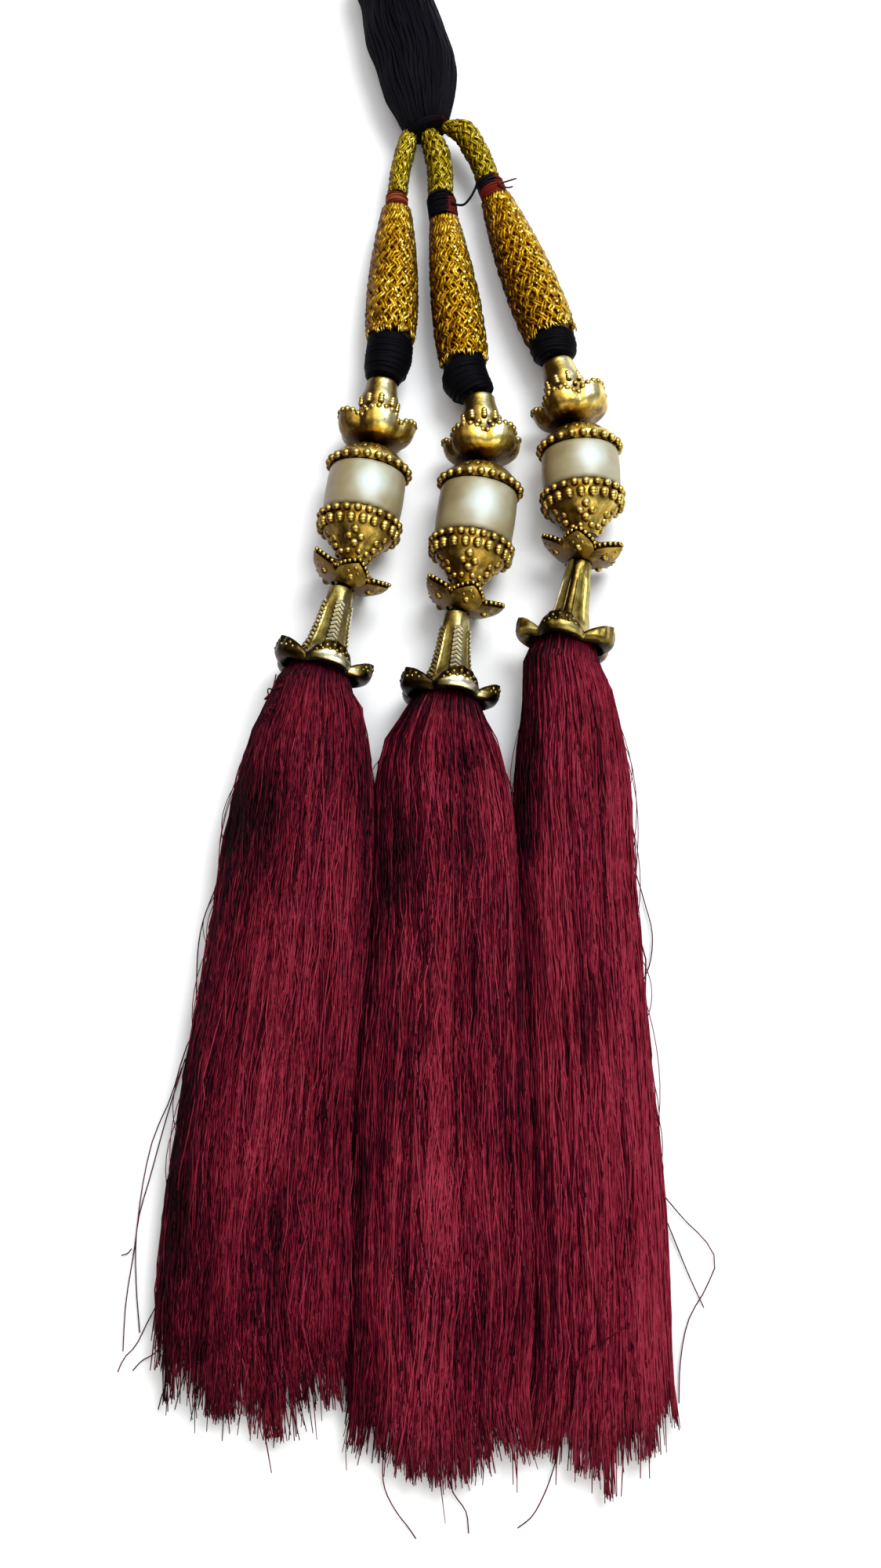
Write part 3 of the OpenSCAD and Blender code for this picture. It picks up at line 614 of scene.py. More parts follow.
# Threads that have come loose from a tassel
LOOSE_THREADS = [
    [[(-32.3, -36.6, 0.8), (-34.8, -42.8, 0.8), (-37.1, -49.7, 0.8), (-37.7, -57.9, 0.8), (-37.1, -64.7, 0.8),
      (-35.6, -67.6, 0.8)],
     [(-36, -64.6, 0.6), (-38.8, -70, 0.6), (-41.4, -79.2, 0.6), (-44, -85.7, 0.6), (-45.5, -93.4, 0.6),
      (-46.4, -103.5, 0.6), (-47.5, -112.8, 0.6), (-47.6, -120, 0.6)],
     [(-40, -101, 0.6), (-41.9, -111.6, 0.6), (-44, -115.9, 0.6), (-45.7, -119.3, 0.6), (-47.4, -121.1, 0.6),
      (-48.3, -123.2, 0.6)],
     [(-39.2, -72.6, 0.5), (-41.8, -81.8, 0.5), (-44.3, -92.1, 0.5), (-46.1, -99.7, 0.5), (-45.9, -109.7, 0.5),
      (-45, -117.1, 0.5)],
     [(-40.3, -117.1, 0.5), (-42.7, -120.5, 0.5), (-44.5, -121.5, 0.5), (-45.9, -123, 0.5)],
     [(-46.9, -103.8, 0.5), (-47.6, -104.6, 0.5), (-48.6, -104.9, 0.5)],
     [(-39.8, -124.4, 0.7), (-40.8, -126.3, 0.5), (-41.5, -129, 0.5)]],
    [[(-4.4, -128, 2.4), (-4.9, -135, 1.4), (-4.6, -141, 0.8), (-2.6, -144.6, 0.5), (-0.6, -147, 0.4),
      (0.4, -148.4, 0.3)],
     [(5, -130, 3), (5.2, -137, 1.6), (6.4, -141.6, 0.8), (8.4, -144.4, 0.6), (8.8, -147.6, 0.4)]],
    [[(37.2, -37.3, 2.6), (39.8, -45.6, 0.8), (41, -51.1, 0.8), (40.4, -56.6, 0.8), (38.4, -60.9, 1.4)],
     [(41, -94.7, 1.4), (44.8, -99.1, 0.6), (48.9, -103.5, 0.6), (49.8, -105.5, 0.6), (48.3, -109.7, 0.6),
      (45.2, -114.7, 0.6), (43.4, -122, 0.6), (43, -128, 0.6)],
     [(41, -97.2, 1.4), (43.3, -102.9, 0.6), (45.5, -108.5, 0.6), (47.6, -113.2, 0.6)],
     [(26.3, -119.9, 8.2), (30.1, -117.8, 8.7), (34.5, -115.2, 8.3)],
     [(24.2, -127, 2.6), (23.6, -133, 1.4), (22.4, -138, 0.9), (20.8, -142, 0.6), (18.6, -145.4, 0.4),
      (16.6, -146.8, 0.3)]],
]
# Tangles on a tassel's surface: middle, spread, threads and tone
TANGLES = [[((-23.2, -10.8, 12.4), (0.6, 1.6, 0.4), 60, 0.3), ((-24.6, -12.2, 10.6), (0.4, 1.3, 0.6), 60, 0.36)],
           [((7.6, -21.8, 13.1), (1.0, 0.9, 0.15), 16, 0.3)], []]
# Mean tone of each tassel's threads
SILK_TONES = (0.55, 0.56, 0.72)
# Half width and half height of a lying section, for spreading the threads
LYING_SIZE = (14, 6)
# Stray fibres that bow out of both sides
STRAYS = 36
# How far a tuft's ends spread in length, the share of threads that hang below the tufts, the
# share that end well above, the share that cross the others and the share of pale threads,
# which are painted highlights
TUFT_DEPTH = 6.5
LONER_SHARE = 0.014
SHORT_SHARE = 0.07
CROSSING_SHARE = 0.28
PAINTED_HIGHLIGHT_SHARE = 0.06
# Columns of the dark cores under the threads, and rows of a tassel's one
CORE_COLUMNS = 48
CORE_ROWS = 40


def tassel_sections(s):
    """Rows of a tassel's sections: middle, across, up and down, from the neck to the tips."""
    spot = SPOTS[s]["trumpet"]
    rows = [[*spot.at(0, 0, depth), *(radius * spot.x), *(radius * spot.u), *(radius * spot.u)]
            for radius, depth in NECK_ROWS]
    for y, left, right, under, top in TASSEL_ROWS[s]:
        half_w, half_h = (right - left) / 2, (top - under) / 2
        rows.append([(left + right) / 2, y, (top + under) / 2, half_w, 0, 0, 0, 0, half_h, 0, 0, half_h])
    rows.append([rows[-1][0], TIP_Y[s] - 1, TIP_LEVEL + 0.4, half_w, 0, 0, 0, 0, TIP_LEVEL, 0, 0, TIP_LEVEL])
    return np.array(rows)


def lying(share):
    """How far the tassel has come down to lie on the floor, at a share of its length."""
    return fade(share, 0.12, 0.1)


def in_section(sections, share, a, b):
    """Place in the tassel at a share of its length; (a, b) lies in the unit disc."""
    at = spline(sections, share)
    up, down = np.clip(b, 0, None), np.clip(-b, 0, None)
    below = np.clip(down / np.sqrt(np.clip(1 - a**2, 0.01, None)), 0, 1)
    squarer = below * np.clip(1 - a**2, 0, None) ** 0.18
    down = down * (1 - lying(share)) + squarer * lying(share)
    return (at[..., :3] + a[..., None] * at[..., 3:6] + up[..., None] * at[..., 6:9]
            - down[..., None] * at[..., 9:12])


def tip_share(sections, y):
    """Share of the tassel's length at which its middle reaches a given y."""
    shares = even(400)
    ys = spline(sections, shares)[:, 1]
    return np.interp(-y, -ys, shares)


def tip_y(s, a):
    left, middle, right = THREAD_ENDS[s]
    return np.where(a < 0, middle + (middle - left) * a, middle + (right - middle) * a)


def tangle(soup, rng, middle, spread, count, tone):
    """Short curly threads in a heap."""
    t = even(7)[None, :, None]
    start = np.array(middle) + rng.normal(0, 1, (count, 3)) * spread
    lead = rng.normal(0, 1, (count, 3)) * (0.45, 0.9, 0.25) - (0, 1.4, 0)
    bend = rng.normal(0, 1, (count, 3)) * (0.5, 0.5, 0.25)
    paths = start[:, None] + lead[:, None] * t + bend[:, None] * np.sin(np.pi * t)
    soup.tubes(paths, 0.15, 3, ref=(0.1, 0.05, 1), tone=np.clip(tone + rng.normal(0, 0.1, count), 0, 1))


def make_tassel(soup, s):
    rng = np.random.default_rng(SEEDS["tassel"] + s)
    sections = tassel_sections(s)
    last_y = TIP_Y[s] - 0.9

    # Angles spread evenly over the lying section's outline, denser on the upper side
    fine = np.linspace(0, 180, 400)
    arc = np.cumsum(np.hypot(LYING_SIZE[0] * np.sin(np.radians(fine)), LYING_SIZE[1] * np.cos(np.radians(fine))))

    def evenly(share):
        return np.interp(share, arc / arc[-1], fine)

    upper = rng.random(THREADS) < UPPER_SHARE
    spread = evenly(rng.random(THREADS))
    angle = np.where(upper, spread, -spread)
    clump_angle = np.concatenate([evenly((np.arange(CLUMPS) + 0.5 + 0.6 * (rng.random(CLUMPS) - 0.5)) / CLUMPS),
                                  -evenly((np.arange(CLUMPS) + 0.5) / CLUMPS)])
    clump = np.abs(wrapped(angle[:, None] - clump_angle)).argmin(1)
    clump_tone = rng.normal(0, 0.1, 2 * CLUMPS)[clump]
    clump_deep = rng.random(2 * CLUMPS)[clump][:, None]
    wave = rng.random((2 * CLUMPS, 4))[clump][:, None]
    layer = rng.random(THREADS) ** 1.3
    t = even(THREAD_RINGS)[None, :] ** 1.2
    start = tip_share(sections, SPOTS[s]["trumpet"].at(0, 0, NECK_START)[1])

    # Pairs of clumps end in a pointed tuft; a few threads hang below it and a few end above
    tuft = clump // 2
    off_tuft = np.abs(wrapped(angle - clump_angle.reshape(-1, 2).mean(1)[tuft]))
    end_y = tip_y(s, np.cos(np.radians(angle))) + 0.5 * off_tuft
    end_y = end_y + TUFT_DEPTH * (rng.random(CLUMPS)[tuft] ** 1.4 - 0.33)
    end_y = end_y + rng.gamma(1.2, 0.75, THREADS) * np.where(rng.random(THREADS) < 1 - SHORT_SHARE, 1, 4)
    end_y = end_y + np.interp(np.abs(angle), np.linspace(0, 180, 14), rng.normal(0.3, 1.5, 14))
    loner = rng.random(THREADS) < LONER_SHARE
    end_y = end_y - loner * (2 + 3 * rng.random(THREADS))
    share = start + (tip_share(sections, np.maximum(end_y, last_y))[:, None] - start) * t

    # Threads gather toward their clump's middle near the tips, and sway, wiggle and cross
    gather = 0.6 * fade(share, 0.55, 0.45) * (0.6 + 0.4 * wave[..., 3])
    offset = wrapped(angle - clump_angle[clump])[:, None]
    sway = 2.2 * ripple(share * (1.4 + wave[..., 0]) + wave[..., 1])
    own = rng.random((THREADS, 4))
    wiggle = 1.5 * ripple(share * (3 + 4 * own[:, :1]) + own[:, 1:2])
    crimp = rng.normal(0, 1.9, share.shape)
    crossing = (rng.random(THREADS) < CROSSING_SHARE)[:, None] * rng.normal(0, 27, (THREADS, 1)) * (share - 0.5)
    free = fade(share, start, 1 / 8)
    turned = np.radians(clump_angle[clump][:, None] + offset * (1 - gather) + crossing
                        + (sway + wiggle + crimp) * free)
    depth = 0.12 * layer[:, None] + 0.1 * clump_deep * np.sin(np.pi * np.clip(share * 1.1, 0, 1)) * (
        0.5 + 0.5 * ripple(share * 2.2 + wave[..., 2]))
    outward = (1 - depth + rng.normal(0, 0.016, share.shape) * free) * (1 - 0.05 * np.abs(offset) / 6)
    # Sides swell a little past the solid, so that no floor shows between two tassels
    side = np.abs(np.cos(turned)) ** 6 * lying(share)
    outward = outward + side * (0.04 + 0.5 * depth + 0.05 * fade(share, 0.6, 0.2))
    paths = in_section(sections, share, outward * np.cos(turned), outward * np.sin(turned))
    # Thread ends fall past the section's end on their own
    past = np.clip(last_y - end_y, 0, None)[:, None] * fade(t, 0.85, 0.15)
    paths[..., 1] -= past
    paths[..., 0] += past * rng.normal(0, 0.25, (THREADS, 1))
    radius = THREAD_R * (0.8 + 0.4 * rng.random((THREADS, 1))) * (1 - 0.45 * fade(t, 0.9, 0.1))
    paths[..., 2] = np.maximum(paths[..., 2], radius + 0.02)

    # Deeper threads are darker, as painted shade between the threads
    tone = SILK_TONES[s] + clump_tone + rng.normal(0, 0.25, THREADS) - 0.22 * layer
    # Pale threads as painted highlights
    tone = tone + 0.3 * (rng.random(THREADS) < PAINTED_HIGHLIGHT_SHARE)
    # Painted light on the side of the tassel toward the light, and a painted shadow under the trumpet's rim at the
    # neck
    tone = tone[:, None] + 0.08 * np.cos(turned - 1.0) - 0.85 * np.clip(1.5 - (share - start) / 0.045, 0, 1)
    # Painted shade in the dark places, painted light where the depth is negative
    for x, y, half_w, half_l, dark in PAINTED_SHADE_AND_LIGHT_PLACES[s]:
        tone = tone - 1.25 * dark * bell(paths[..., 0], x, half_w) * bell(paths[..., 1], y, half_l)
    soup.tubes(paths, radius, 3, tone=np.clip(tone, 0, 1))

    for row in LOOSE_THREADS[s]:
        soup.tubes(spline(row, even(18)), 0.1, 4, tone=0.25)
    for heap in TANGLES[s]:
        tangle(soup, rng, *heap)
    bow = even(9)[None, :]
    run = rng.uniform(0.1, 0.8, (STRAYS, 1)) + rng.uniform(0.06, 0.18, (STRAYS, 1)) * bow
    sign = np.where(rng.random((STRAYS, 1)) < 0.5, -1, 1)
    lean = rng.uniform(0.04, 0.16, (STRAYS, 1)) * np.sin(np.pi * bow) ** 0.8
    fibres = in_section(sections, run, sign * (0.97 + lean), rng.uniform(-0.3, 0.2, (STRAYS, 1)) + 0 * run)
    soup.tubes(fibres, 0.09, 3, tone=rng.uniform(0.3, 0.8, STRAYS))

    # Core that keeps the threads from being seen through, dark as painted shade of the threads inside
    columns = np.radians(circle(CORE_COLUMNS))
    stations = np.linspace(start, tip_share(sections, max(THREAD_ENDS[s]) + 4), CORE_ROWS)[:, None]
    shrink = 0.84 - 0.3 * fade(stations, 0.13, -0.1) - 0.2 * fade(stations, 0.75, 0.2)
    wide = shrink + (0.97 - shrink) * fade(stations, 0.15, 0.1)
    core = in_section(sections, stations + 0 * columns, wide * np.cos(columns), shrink * np.sin(columns))
    core[..., 2] = np.maximum(core[..., 2], 0.1)
    soup.capped(core, 0.1)


# Head bundle: yarn strands lying lengthwise over a core

HEAD_STRANDS = 160
HEAD_STRAND_R = 0.33
HEAD_TWIST = 14
HEAD_WINDS = 4
# The strands' ends close round the cords, just past the solid's end
HEAD_END_ROWS = [(1.8, 103.5, 6.7, 3.9, 3.4, 17), (2, 102.9, 6.7, 2.4, 2.2, 20)]


def on_section(sections, share, angle, size):
    """Place on the bundle's section at a share of its length; size is a share of the section."""
    at = spline(sections, share)
    return at[..., :3] + np.asarray(size)[..., None] * swing(angle, at[..., 3:6], at[..., 6:9])


def make_head():
    rng = np.random.default_rng(SEEDS["head"])
    sections = np.array([[*middle, *(half_w * way(heading + 90)), 0, 0, half_h]
                         for *middle, half_w, half_h, heading in BUNDLE_ROWS + HEAD_END_ROWS])
    soup = Soup()
    share = np.linspace(0.004, 0.996, 28)[None, :]
    angle = circle(HEAD_STRANDS).T + rng.normal(0, 1.2, (HEAD_STRANDS, 1))
    own = rng.random((HEAD_STRANDS, 4))[:, None, :]
    turned = np.radians(angle + HEAD_TWIST * share + 2.2 * ripple(2 * share + own[..., 0])
                        + 3 * (own[..., 3] - 0.5) * share)
    size = 0.95 - 0.055 * own[..., 1] + 0.012 * ripple(3 * share + own[..., 2])
    soup.tubes(on_section(sections, share + 0 * turned, turned, size), HEAD_STRAND_R * (0.8 + 0.4 * own[..., 0]), 4,
               tone=0.15 + 0.45 * own[:, 0, 2])
    columns = np.radians(circle(CORE_COLUMNS))
    soup.capped(on_section(sections, even(36)[:, None] + 0 * columns, columns, 0.93), 0.1)
    # Dark maroon thread wound round the lower end, paler and redder on the side toward the light as painted light
    turns = even(40 * HEAD_WINDS)
    angle = np.radians(360 * HEAD_WINDS * turns + 40)
    wound = on_section(sections, 0.976 + 0.014 * turns - 0.004 * np.cos(angle), angle, 1.0)
    soup.tubes(wound, 0.22, 5, ref=way(8), tone=(0.45 + 0.37 * np.clip(np.cos(angle - 0.5), 0, 1))[None])
    soup.build("head_yarn", BLACK, "black_yarn", "head_bundle")


# Windings

# Radius of the hole that a padded core leaves for the hidden thread
CORE_HOLE_R = 0.8
BULB_CARRIERS = 15
BULB_LAY = 0.14
BULB_THREAD_R = 0.4
CORD_CARRIERS = 9
CORD_LAY = 0.29
CORD_THREAD_R = 0.29
# How far a braid's thread dips when it passes under the others
BRAID_DIP = 0.2
# Frayed thread ends over the wrap
FRAYS = 34
BINDING_THREAD_R = 0.27
BINDING_PITCH = 0.46
WRAP_THREAD_R = 0.4
# The share of the wrap's length that its thread covers, and where that starts
WRAP_START = 0.04
WRAP_COVERED = 0.92
# Loose black thread from the middle binding to the right one, and the knot's ends on the right
LOOP = [(5.6, 88, 7.9), (7, 86.8, 8), (8.5, 86.7, 7.9), (9.8, 88.1, 7.8), (10.7, 89.9, 7.7), (11.4, 92.3, 7.3)]
KNOT_ENDS = [[(15.4, 91, 8.3), (17, 91.4, 8.5), (18.7, 92.2, 8.2)],
             [(15.8, 90.7, 8.2), (17.2, 90.2, 8.2), (18, 90.6, 8)]]


def winding(rng, spot, centre, radius, turns, step_mm, wobble, start_angle, backward):
    """Path of a thread wound round a strand, and its shares of the strand and its angles.
    centre(t) and radius(t) give the strand at a share t, backward winds from its end."""
    t = even(int(2 * np.pi * np.mean(radius(even(20))) * turns / step_mm))
    angle = 2 * np.pi * turns * t + start_angle
    knots = rng.normal(0, wobble, int(turns * 5))
    drift = np.interp(t, even(len(knots)), knots)
    if backward:
        t = 1 - t
    path = centre(t) + swing(angle, spot.x, spot.u) * radius(t)[:, None] + drift[:, None] * spot.d
    return path, t, angle


def bulb_share(t):
    swell = BULB_NECK_R / BULB_R + (1 - BULB_NECK_R / BULB_R) * np.sin(np.pi / 2 * t / BULB_CREST)
    close = 1 - (1 - BULB_END) * ((t - BULB_CREST) / (1 - BULB_CREST)) ** 2
    return np.where(t < BULB_CREST, swell, close)


def braid(soup, rng, place, length, carriers, lay, thread_r, step_mm, tone):
    """Two sets of thread pairs that wind opposite ways and pass over and under each other.
    place(run, angle, inward, aside) gives a point at a run along the axis, inward from the
    surface; lay is how far the threads turn, in radians for each millimetre."""
    run = np.linspace(0, length, int(length / step_mm * 1.2))[None, :]
    for sense in (1, -1):
        start = 2 * np.pi * np.arange(carriers)[:, None] / carriers + rng.normal(0, 0.02, (carriers, 1))
        over = sense * np.cos(lay * carriers * run + rng.normal(0, 0.7, (carriers, 1)))
        for side in (-1, 1):
            angle = start + sense * lay * run + rng.normal(0, 0.022, run.shape) + rng.normal(0, 0.03, over.shape)
            inward = thread_r + BRAID_DIP * (1 - over) + rng.uniform(0, 0.1, (carriers, 1))
            inward = inward + np.abs(rng.normal(0, 0.04, over.shape))
            path = place(run + 0 * angle, angle, inward, side * thread_r * 0.8)
            shade = tone + rng.normal(0, 0.1, (carriers, 1)) + rng.normal(0, 0.22, over.shape)
            # Painted light: paler where a thread crosses over and on the side toward the light, painted shade where
            # it dips under and on the far side
            shade = shade + 0.1 * over + 0.24 * np.cos(angle - 0.9)
            soup.tubes(path, thread_r, 4, tone=np.clip(shade, 0, 1))


def make_bulb(soup, s):
    rng = np.random.default_rng(SEEDS["bulb"] + s)
    length, share = BULBS[s][1], BULBS[s][4]
    spot = SPOTS[s]["bulb"]
    r = share * BULB_R

    def place(run, angle, inward, aside):
        local = r * bulb_share(run / length)
        return spot.at(np.degrees(angle + aside / local), local - inward * np.clip(local / r, 0.7, 1), run)

    braid(soup, rng, place, length, BULB_CARRIERS, BULB_LAY, BULB_THREAD_R, 0.5, 0.45)
    # Painted glints: bright specks in a line right of the middle, where the light catches the bulb
    run = np.arange(2, length - 1, 1.25)
    run = run + rng.uniform(-0.4, 0.4, len(run))
    painted_glints = spot.at(66 + rng.normal(0, 9, len(run)), r * bulb_share(run / length) - 0.2, run)
    soup.balls(painted_glints, rng.uniform(0.22, 0.42, len(run)), 8, 5, (spot.u, 0.6), tone=1.15)
    t = even(4)[None, :]
    turn = rng.uniform(10, 170, (FRAYS, 1)) + rng.normal(0, 5, (FRAYS, 1)) * t
    past = length - 0.5 + rng.uniform(0.6, 1.7, (FRAYS, 1)) * t
    soup.tubes(spot.at(turn, r * BULB_END - 0.35 + 0.25 * np.sin(3 * t), past), 0.16, 3, tone=0.95)
    t = np.linspace(0.01, 0.99, 24)
    rows = np.stack([r * bulb_share(t) - 0.8, length * t], -1)
    soup.lathe(spot, [(CORE_HOLE_R, rows[0, 1]), *rows, (CORE_HOLE_R, rows[-1, 1])], 48, tone=0.3)


def make_cord(soup, s):
    rng = np.random.default_rng(SEEDS["cord"] + s)
    rows = [[*row[:3], row[3] * CORD_R, row[4]] for row in CORD_ROWS[s]]
    rows.append([*SPOTS[s]["bulb"].at(0, 0, -BULBS[s][5] - 2 * GAP), rows[-1][3], BULBS[s][2]])
    rows = np.array(rows)
    length = run_along(rows[:, :3])[-1]

    def place(run, angle, inward, aside):
        at = spline(rows, run / length)
        r = at[..., 3]
        side = swing(np.radians(at[..., 4]), np.array([1, 0, 0]), np.array([0, 1, 0]))
        size = r - inward * np.clip(r / CORD_R, 0.5, 1)
        return at[..., :3] + size[..., None] * swing(angle + aside / r, side, np.array([0, 0, 1]))

    braid(soup, rng, place, length, CORD_CARRIERS, CORD_LAY, CORD_THREAD_R, 0.42, 0.55)
    turn = np.radians(circle(20))
    run = np.linspace(0.01, 0.99, 14)[:, None] * length + 0 * turn
    soup.capped(place(run, turn, 0.65, 0), 0.3)


def binding_tone(s, t, angle):
    """Tone of the thread by how far it is from the bulb and on which side."""
    if s == LEFT:
        return np.interp(t, [0, 0.2, 0.3, 0.7, 0.8, 1], [0.25, 0.48, 0.68, 0.68, 0.42, 0.35])
    if s == MIDDLE:
        return np.where((np.cos(angle - 0.1) > 0.35) & (t < 0.8), 1.0, 0.3)
    return np.where((np.cos(angle - 2.6) > 0.2) & (t > 0.45), 0.0, 0.5)


def make_binding(soup, s):
    rng = np.random.default_rng(SEEDS["binding"] + s)
    length, share = BULBS[s][5:7]
    spot = SPOTS[s]["bulb"]
    r = share * BINDING_R
    wound = length - 2 * BINDING_THREAD_R
    # A close layer and a looser one over it: turns, depth below the solid's surface, start
    for backward, (close, sunk, start_angle) in enumerate(((1, 1.6, 0.0), (0.7, 0.9, 1.3))):
        turns = wound / BINDING_PITCH * close
        path, t, angle = winding(rng, spot, lambda t: spot.at(0, 0, -GAP - BINDING_THREAD_R - wound * t),
                                 lambda t: r - BINDING_THREAD_R * sunk + 0 * t, turns, 0.5, 0.12,
                                 start_angle, backward)
        soup.tubes(path, BINDING_THREAD_R, 5, ref=spot.d, tone=binding_tone(s, t, angle)[None])
    ends = (-GAP - 0.1, 0.1 - GAP - length)
    soup.lathe(spot, [(CORE_HOLE_R, ends[0]), (r - 0.6, ends[0]), (r - 0.6, ends[1]), (CORE_HOLE_R, ends[1])], 40,
               tone=0.1)
    if s == MIDDLE:
        soup.tubes(spline(LOOP, even(30)), 0.24, 5, tone=0.3)
    if s == RIGHT:
        for row in KNOT_ENDS:
            soup.tubes(spline(row, even(8)), 0.17, 5, tone=0.2)
        soup.balls([(15.5, 91, 8.25), (15.9, 90.6, 8.1)], 0.5, 10, 6, tone=0.3)


def make_wrap(soup, s):
    rng = np.random.default_rng(SEEDS["wrap"] + s)
    bulb_len, bow = BULBS[s][1], BULBS[s][7]
    start = SPOTS[s]["bulb"].at(0, 0, bulb_len + GAP)
    span = SPOTS[s]["cup"].at(0, 0, -GAP) - start
    spot = Spot(start, math.degrees(math.atan2(span[0], -span[1])), CUP_TILT)
    shares, sizes = np.array(WRAP_ROWS).T

    def middle(t):
        return start + np.multiply.outer(t, span) + np.multiply.outer(bow * np.sin(np.pi * t), spot.x)

    def size(t):
        return np.interp(t, shares, sizes) * WRAP_R

    for layer in range(3):
        turns = np.linalg.norm(span) / (0.72 + 0.1 * layer)
        path, _, _ = winding(rng, spot, lambda t: middle(WRAP_START + WRAP_COVERED * t),
                             lambda t: size(WRAP_START + WRAP_COVERED * t) - WRAP_THREAD_R * (1.3 - 0.12 * layer),
                             turns, 0.7, 0.16, 2 * layer, layer % 2)
        soup.tubes(path, WRAP_THREAD_R, 4, ref=spot.d, tone=0.1 + 0.04 * layer)
    stations = np.linspace(0.03, 0.97, 16)
    out = swing(np.radians(circle(32)), spot.x, spot.u)
    soup.capped(middle(stations)[:, None] + (size(stations) - 0.42)[:, None, None] * out, 0.15)


# Cast pieces

COLLAR_GRAINS = 9
# How far each upper flower is turned about its strand
CUP_TURNS = (12, 40, 42)
FLOWER_COLUMNS = 165
# Tone of the lower flower's petals from the front one clockwise, painted light on the front petal and painted shade
# on the others, darkest on the left; and its radius between petals
PAINTED_PETAL_TONES = (0.75, 0.5, 0.45, 0.45, 0.3)
VALLEY_R = 4.6
# The trumpet's outline: its body, its recurved foot and its mouth, as (radius, depth)
BODY_ROWS = [(SEAT_R, 0), (2.4, 3.2), (2.75, 7), (3.3, 10.6), (4.3, 13.3)]
FOOT_ROWS = [(5.6, 14.4), (6.9, 14.7), (7.6, 14), (8.1, 12.6), (8.55, 12.1), (8.95, 13.2), (FOOT_R, 15),
             (8.5, 15.9), (7.5, 16.4)]
MOUTH_ROWS = [(7, 16.2), (6.2, 15.6), (4.9, 14.6), (3.6, 13.2), (2.6, 11.7), (BORE_R, 11.3)]
# Outside this radius the foot spreads into petals
FLARE_R = 4.6
# Tone of a foot's flank and lip at angles from the front petal, positive toward the left, painted for light and
# shade: painted highlights on the lip and painted shade on the darker petals
FOOT_ANGLES = (-180, -90, -56, -44, -30, -8, 12, 24, 42, 70, 180)
FLANK_TONES = [(0, -0.5, -0.4, -0.2, -0.3, -0.9, -0.9, -0.6, -0.4, -0.4, 0)] * 2 + [
    (0.1, 0, 0, 0, -0.2, -0.5, -0.5, -0.2, 0.6, 0.9, 0.4)]
LIP_TONES = [(0, -0.5, -0.3, 0.9, 1.7, 1.7, 1.7, 0.8, -0.5, -0.5, 0)] * 2 + [
    (0.2, 0.1, 0.1, 0.3, 0.6, 0.7, 0.5, 0.4, 1.1, 1.2, 0.5)]
# Zigzags on each panel of the trumpet
ZIGZAGS = 12


def make_collar(soup, s):
    spot = SPOTS[s]["cup"]
    outer = [(COLLAR_R - 0.12, 0.1), (COLLAR_R + 0.02, 0.25), (COLLAR_R + 0.12, 1.0), (COLLAR_R + 0.35, 2.2),
             (COLLAR_R + 0.75, 4.0), (COLLAR_R + 0.75, 4.6), (COLLAR_R + 0.45, 5.4), (2.9, 6.4), (2.4, 7.4),
             (2.25, 9.5), (SEAT_R, 12)]
    profile = np.concatenate([[(BORE_R, 0.3), (COLLAR_R - 0.45, 0.0)], spline(outer, even(30)), [(BORE_R, 12)]])
    columns = 56
    # Painted highlight right of the middle, painted shade round the rest
    painted_collar_highlight = 1.15 * bell(np.radians(circle(columns)), 1.2, 0.5) - 0.1
    soup.lathe(spot, profile, columns, tone=painted_collar_highlight + 0 * profile[:, :1])
    # Grains round the foot
    turn = circle(COLLAR_GRAINS)[0] + 80
    for run in (4.3, 4.8, 5.3):
        soup.balls(spot.at(turn, COLLAR_R + 0.55, run), 0.62, 10, 7, tone=0.7)
    soup.balls(spot.at(turn + 20, COLLAR_R + 0.2, 6.3), 0.6, 10, 6)


def rim_balls(soup, points, spacing, radius):
    """Row of grains along a closed line of points."""
    ring = np.concatenate([points, points[:1]])
    run = run_along(ring)
    count = int(run[-1] / spacing)
    where = np.arange(count) * run[-1] / count
    centres = np.stack([np.interp(where, run, ring[:, k]) for k in range(3)], -1)
    soup.balls(centres, radius, 10, 6)


def lobed(off, out, radius):
    """Distance from the axis to the far side of a round lobe whose middle lies out from it."""
    turn = np.radians(HALF_PETAL * off)
    return out * np.cos(turn) + np.sqrt(np.clip(radius**2 - (out * np.sin(turn)) ** 2, 0, None))


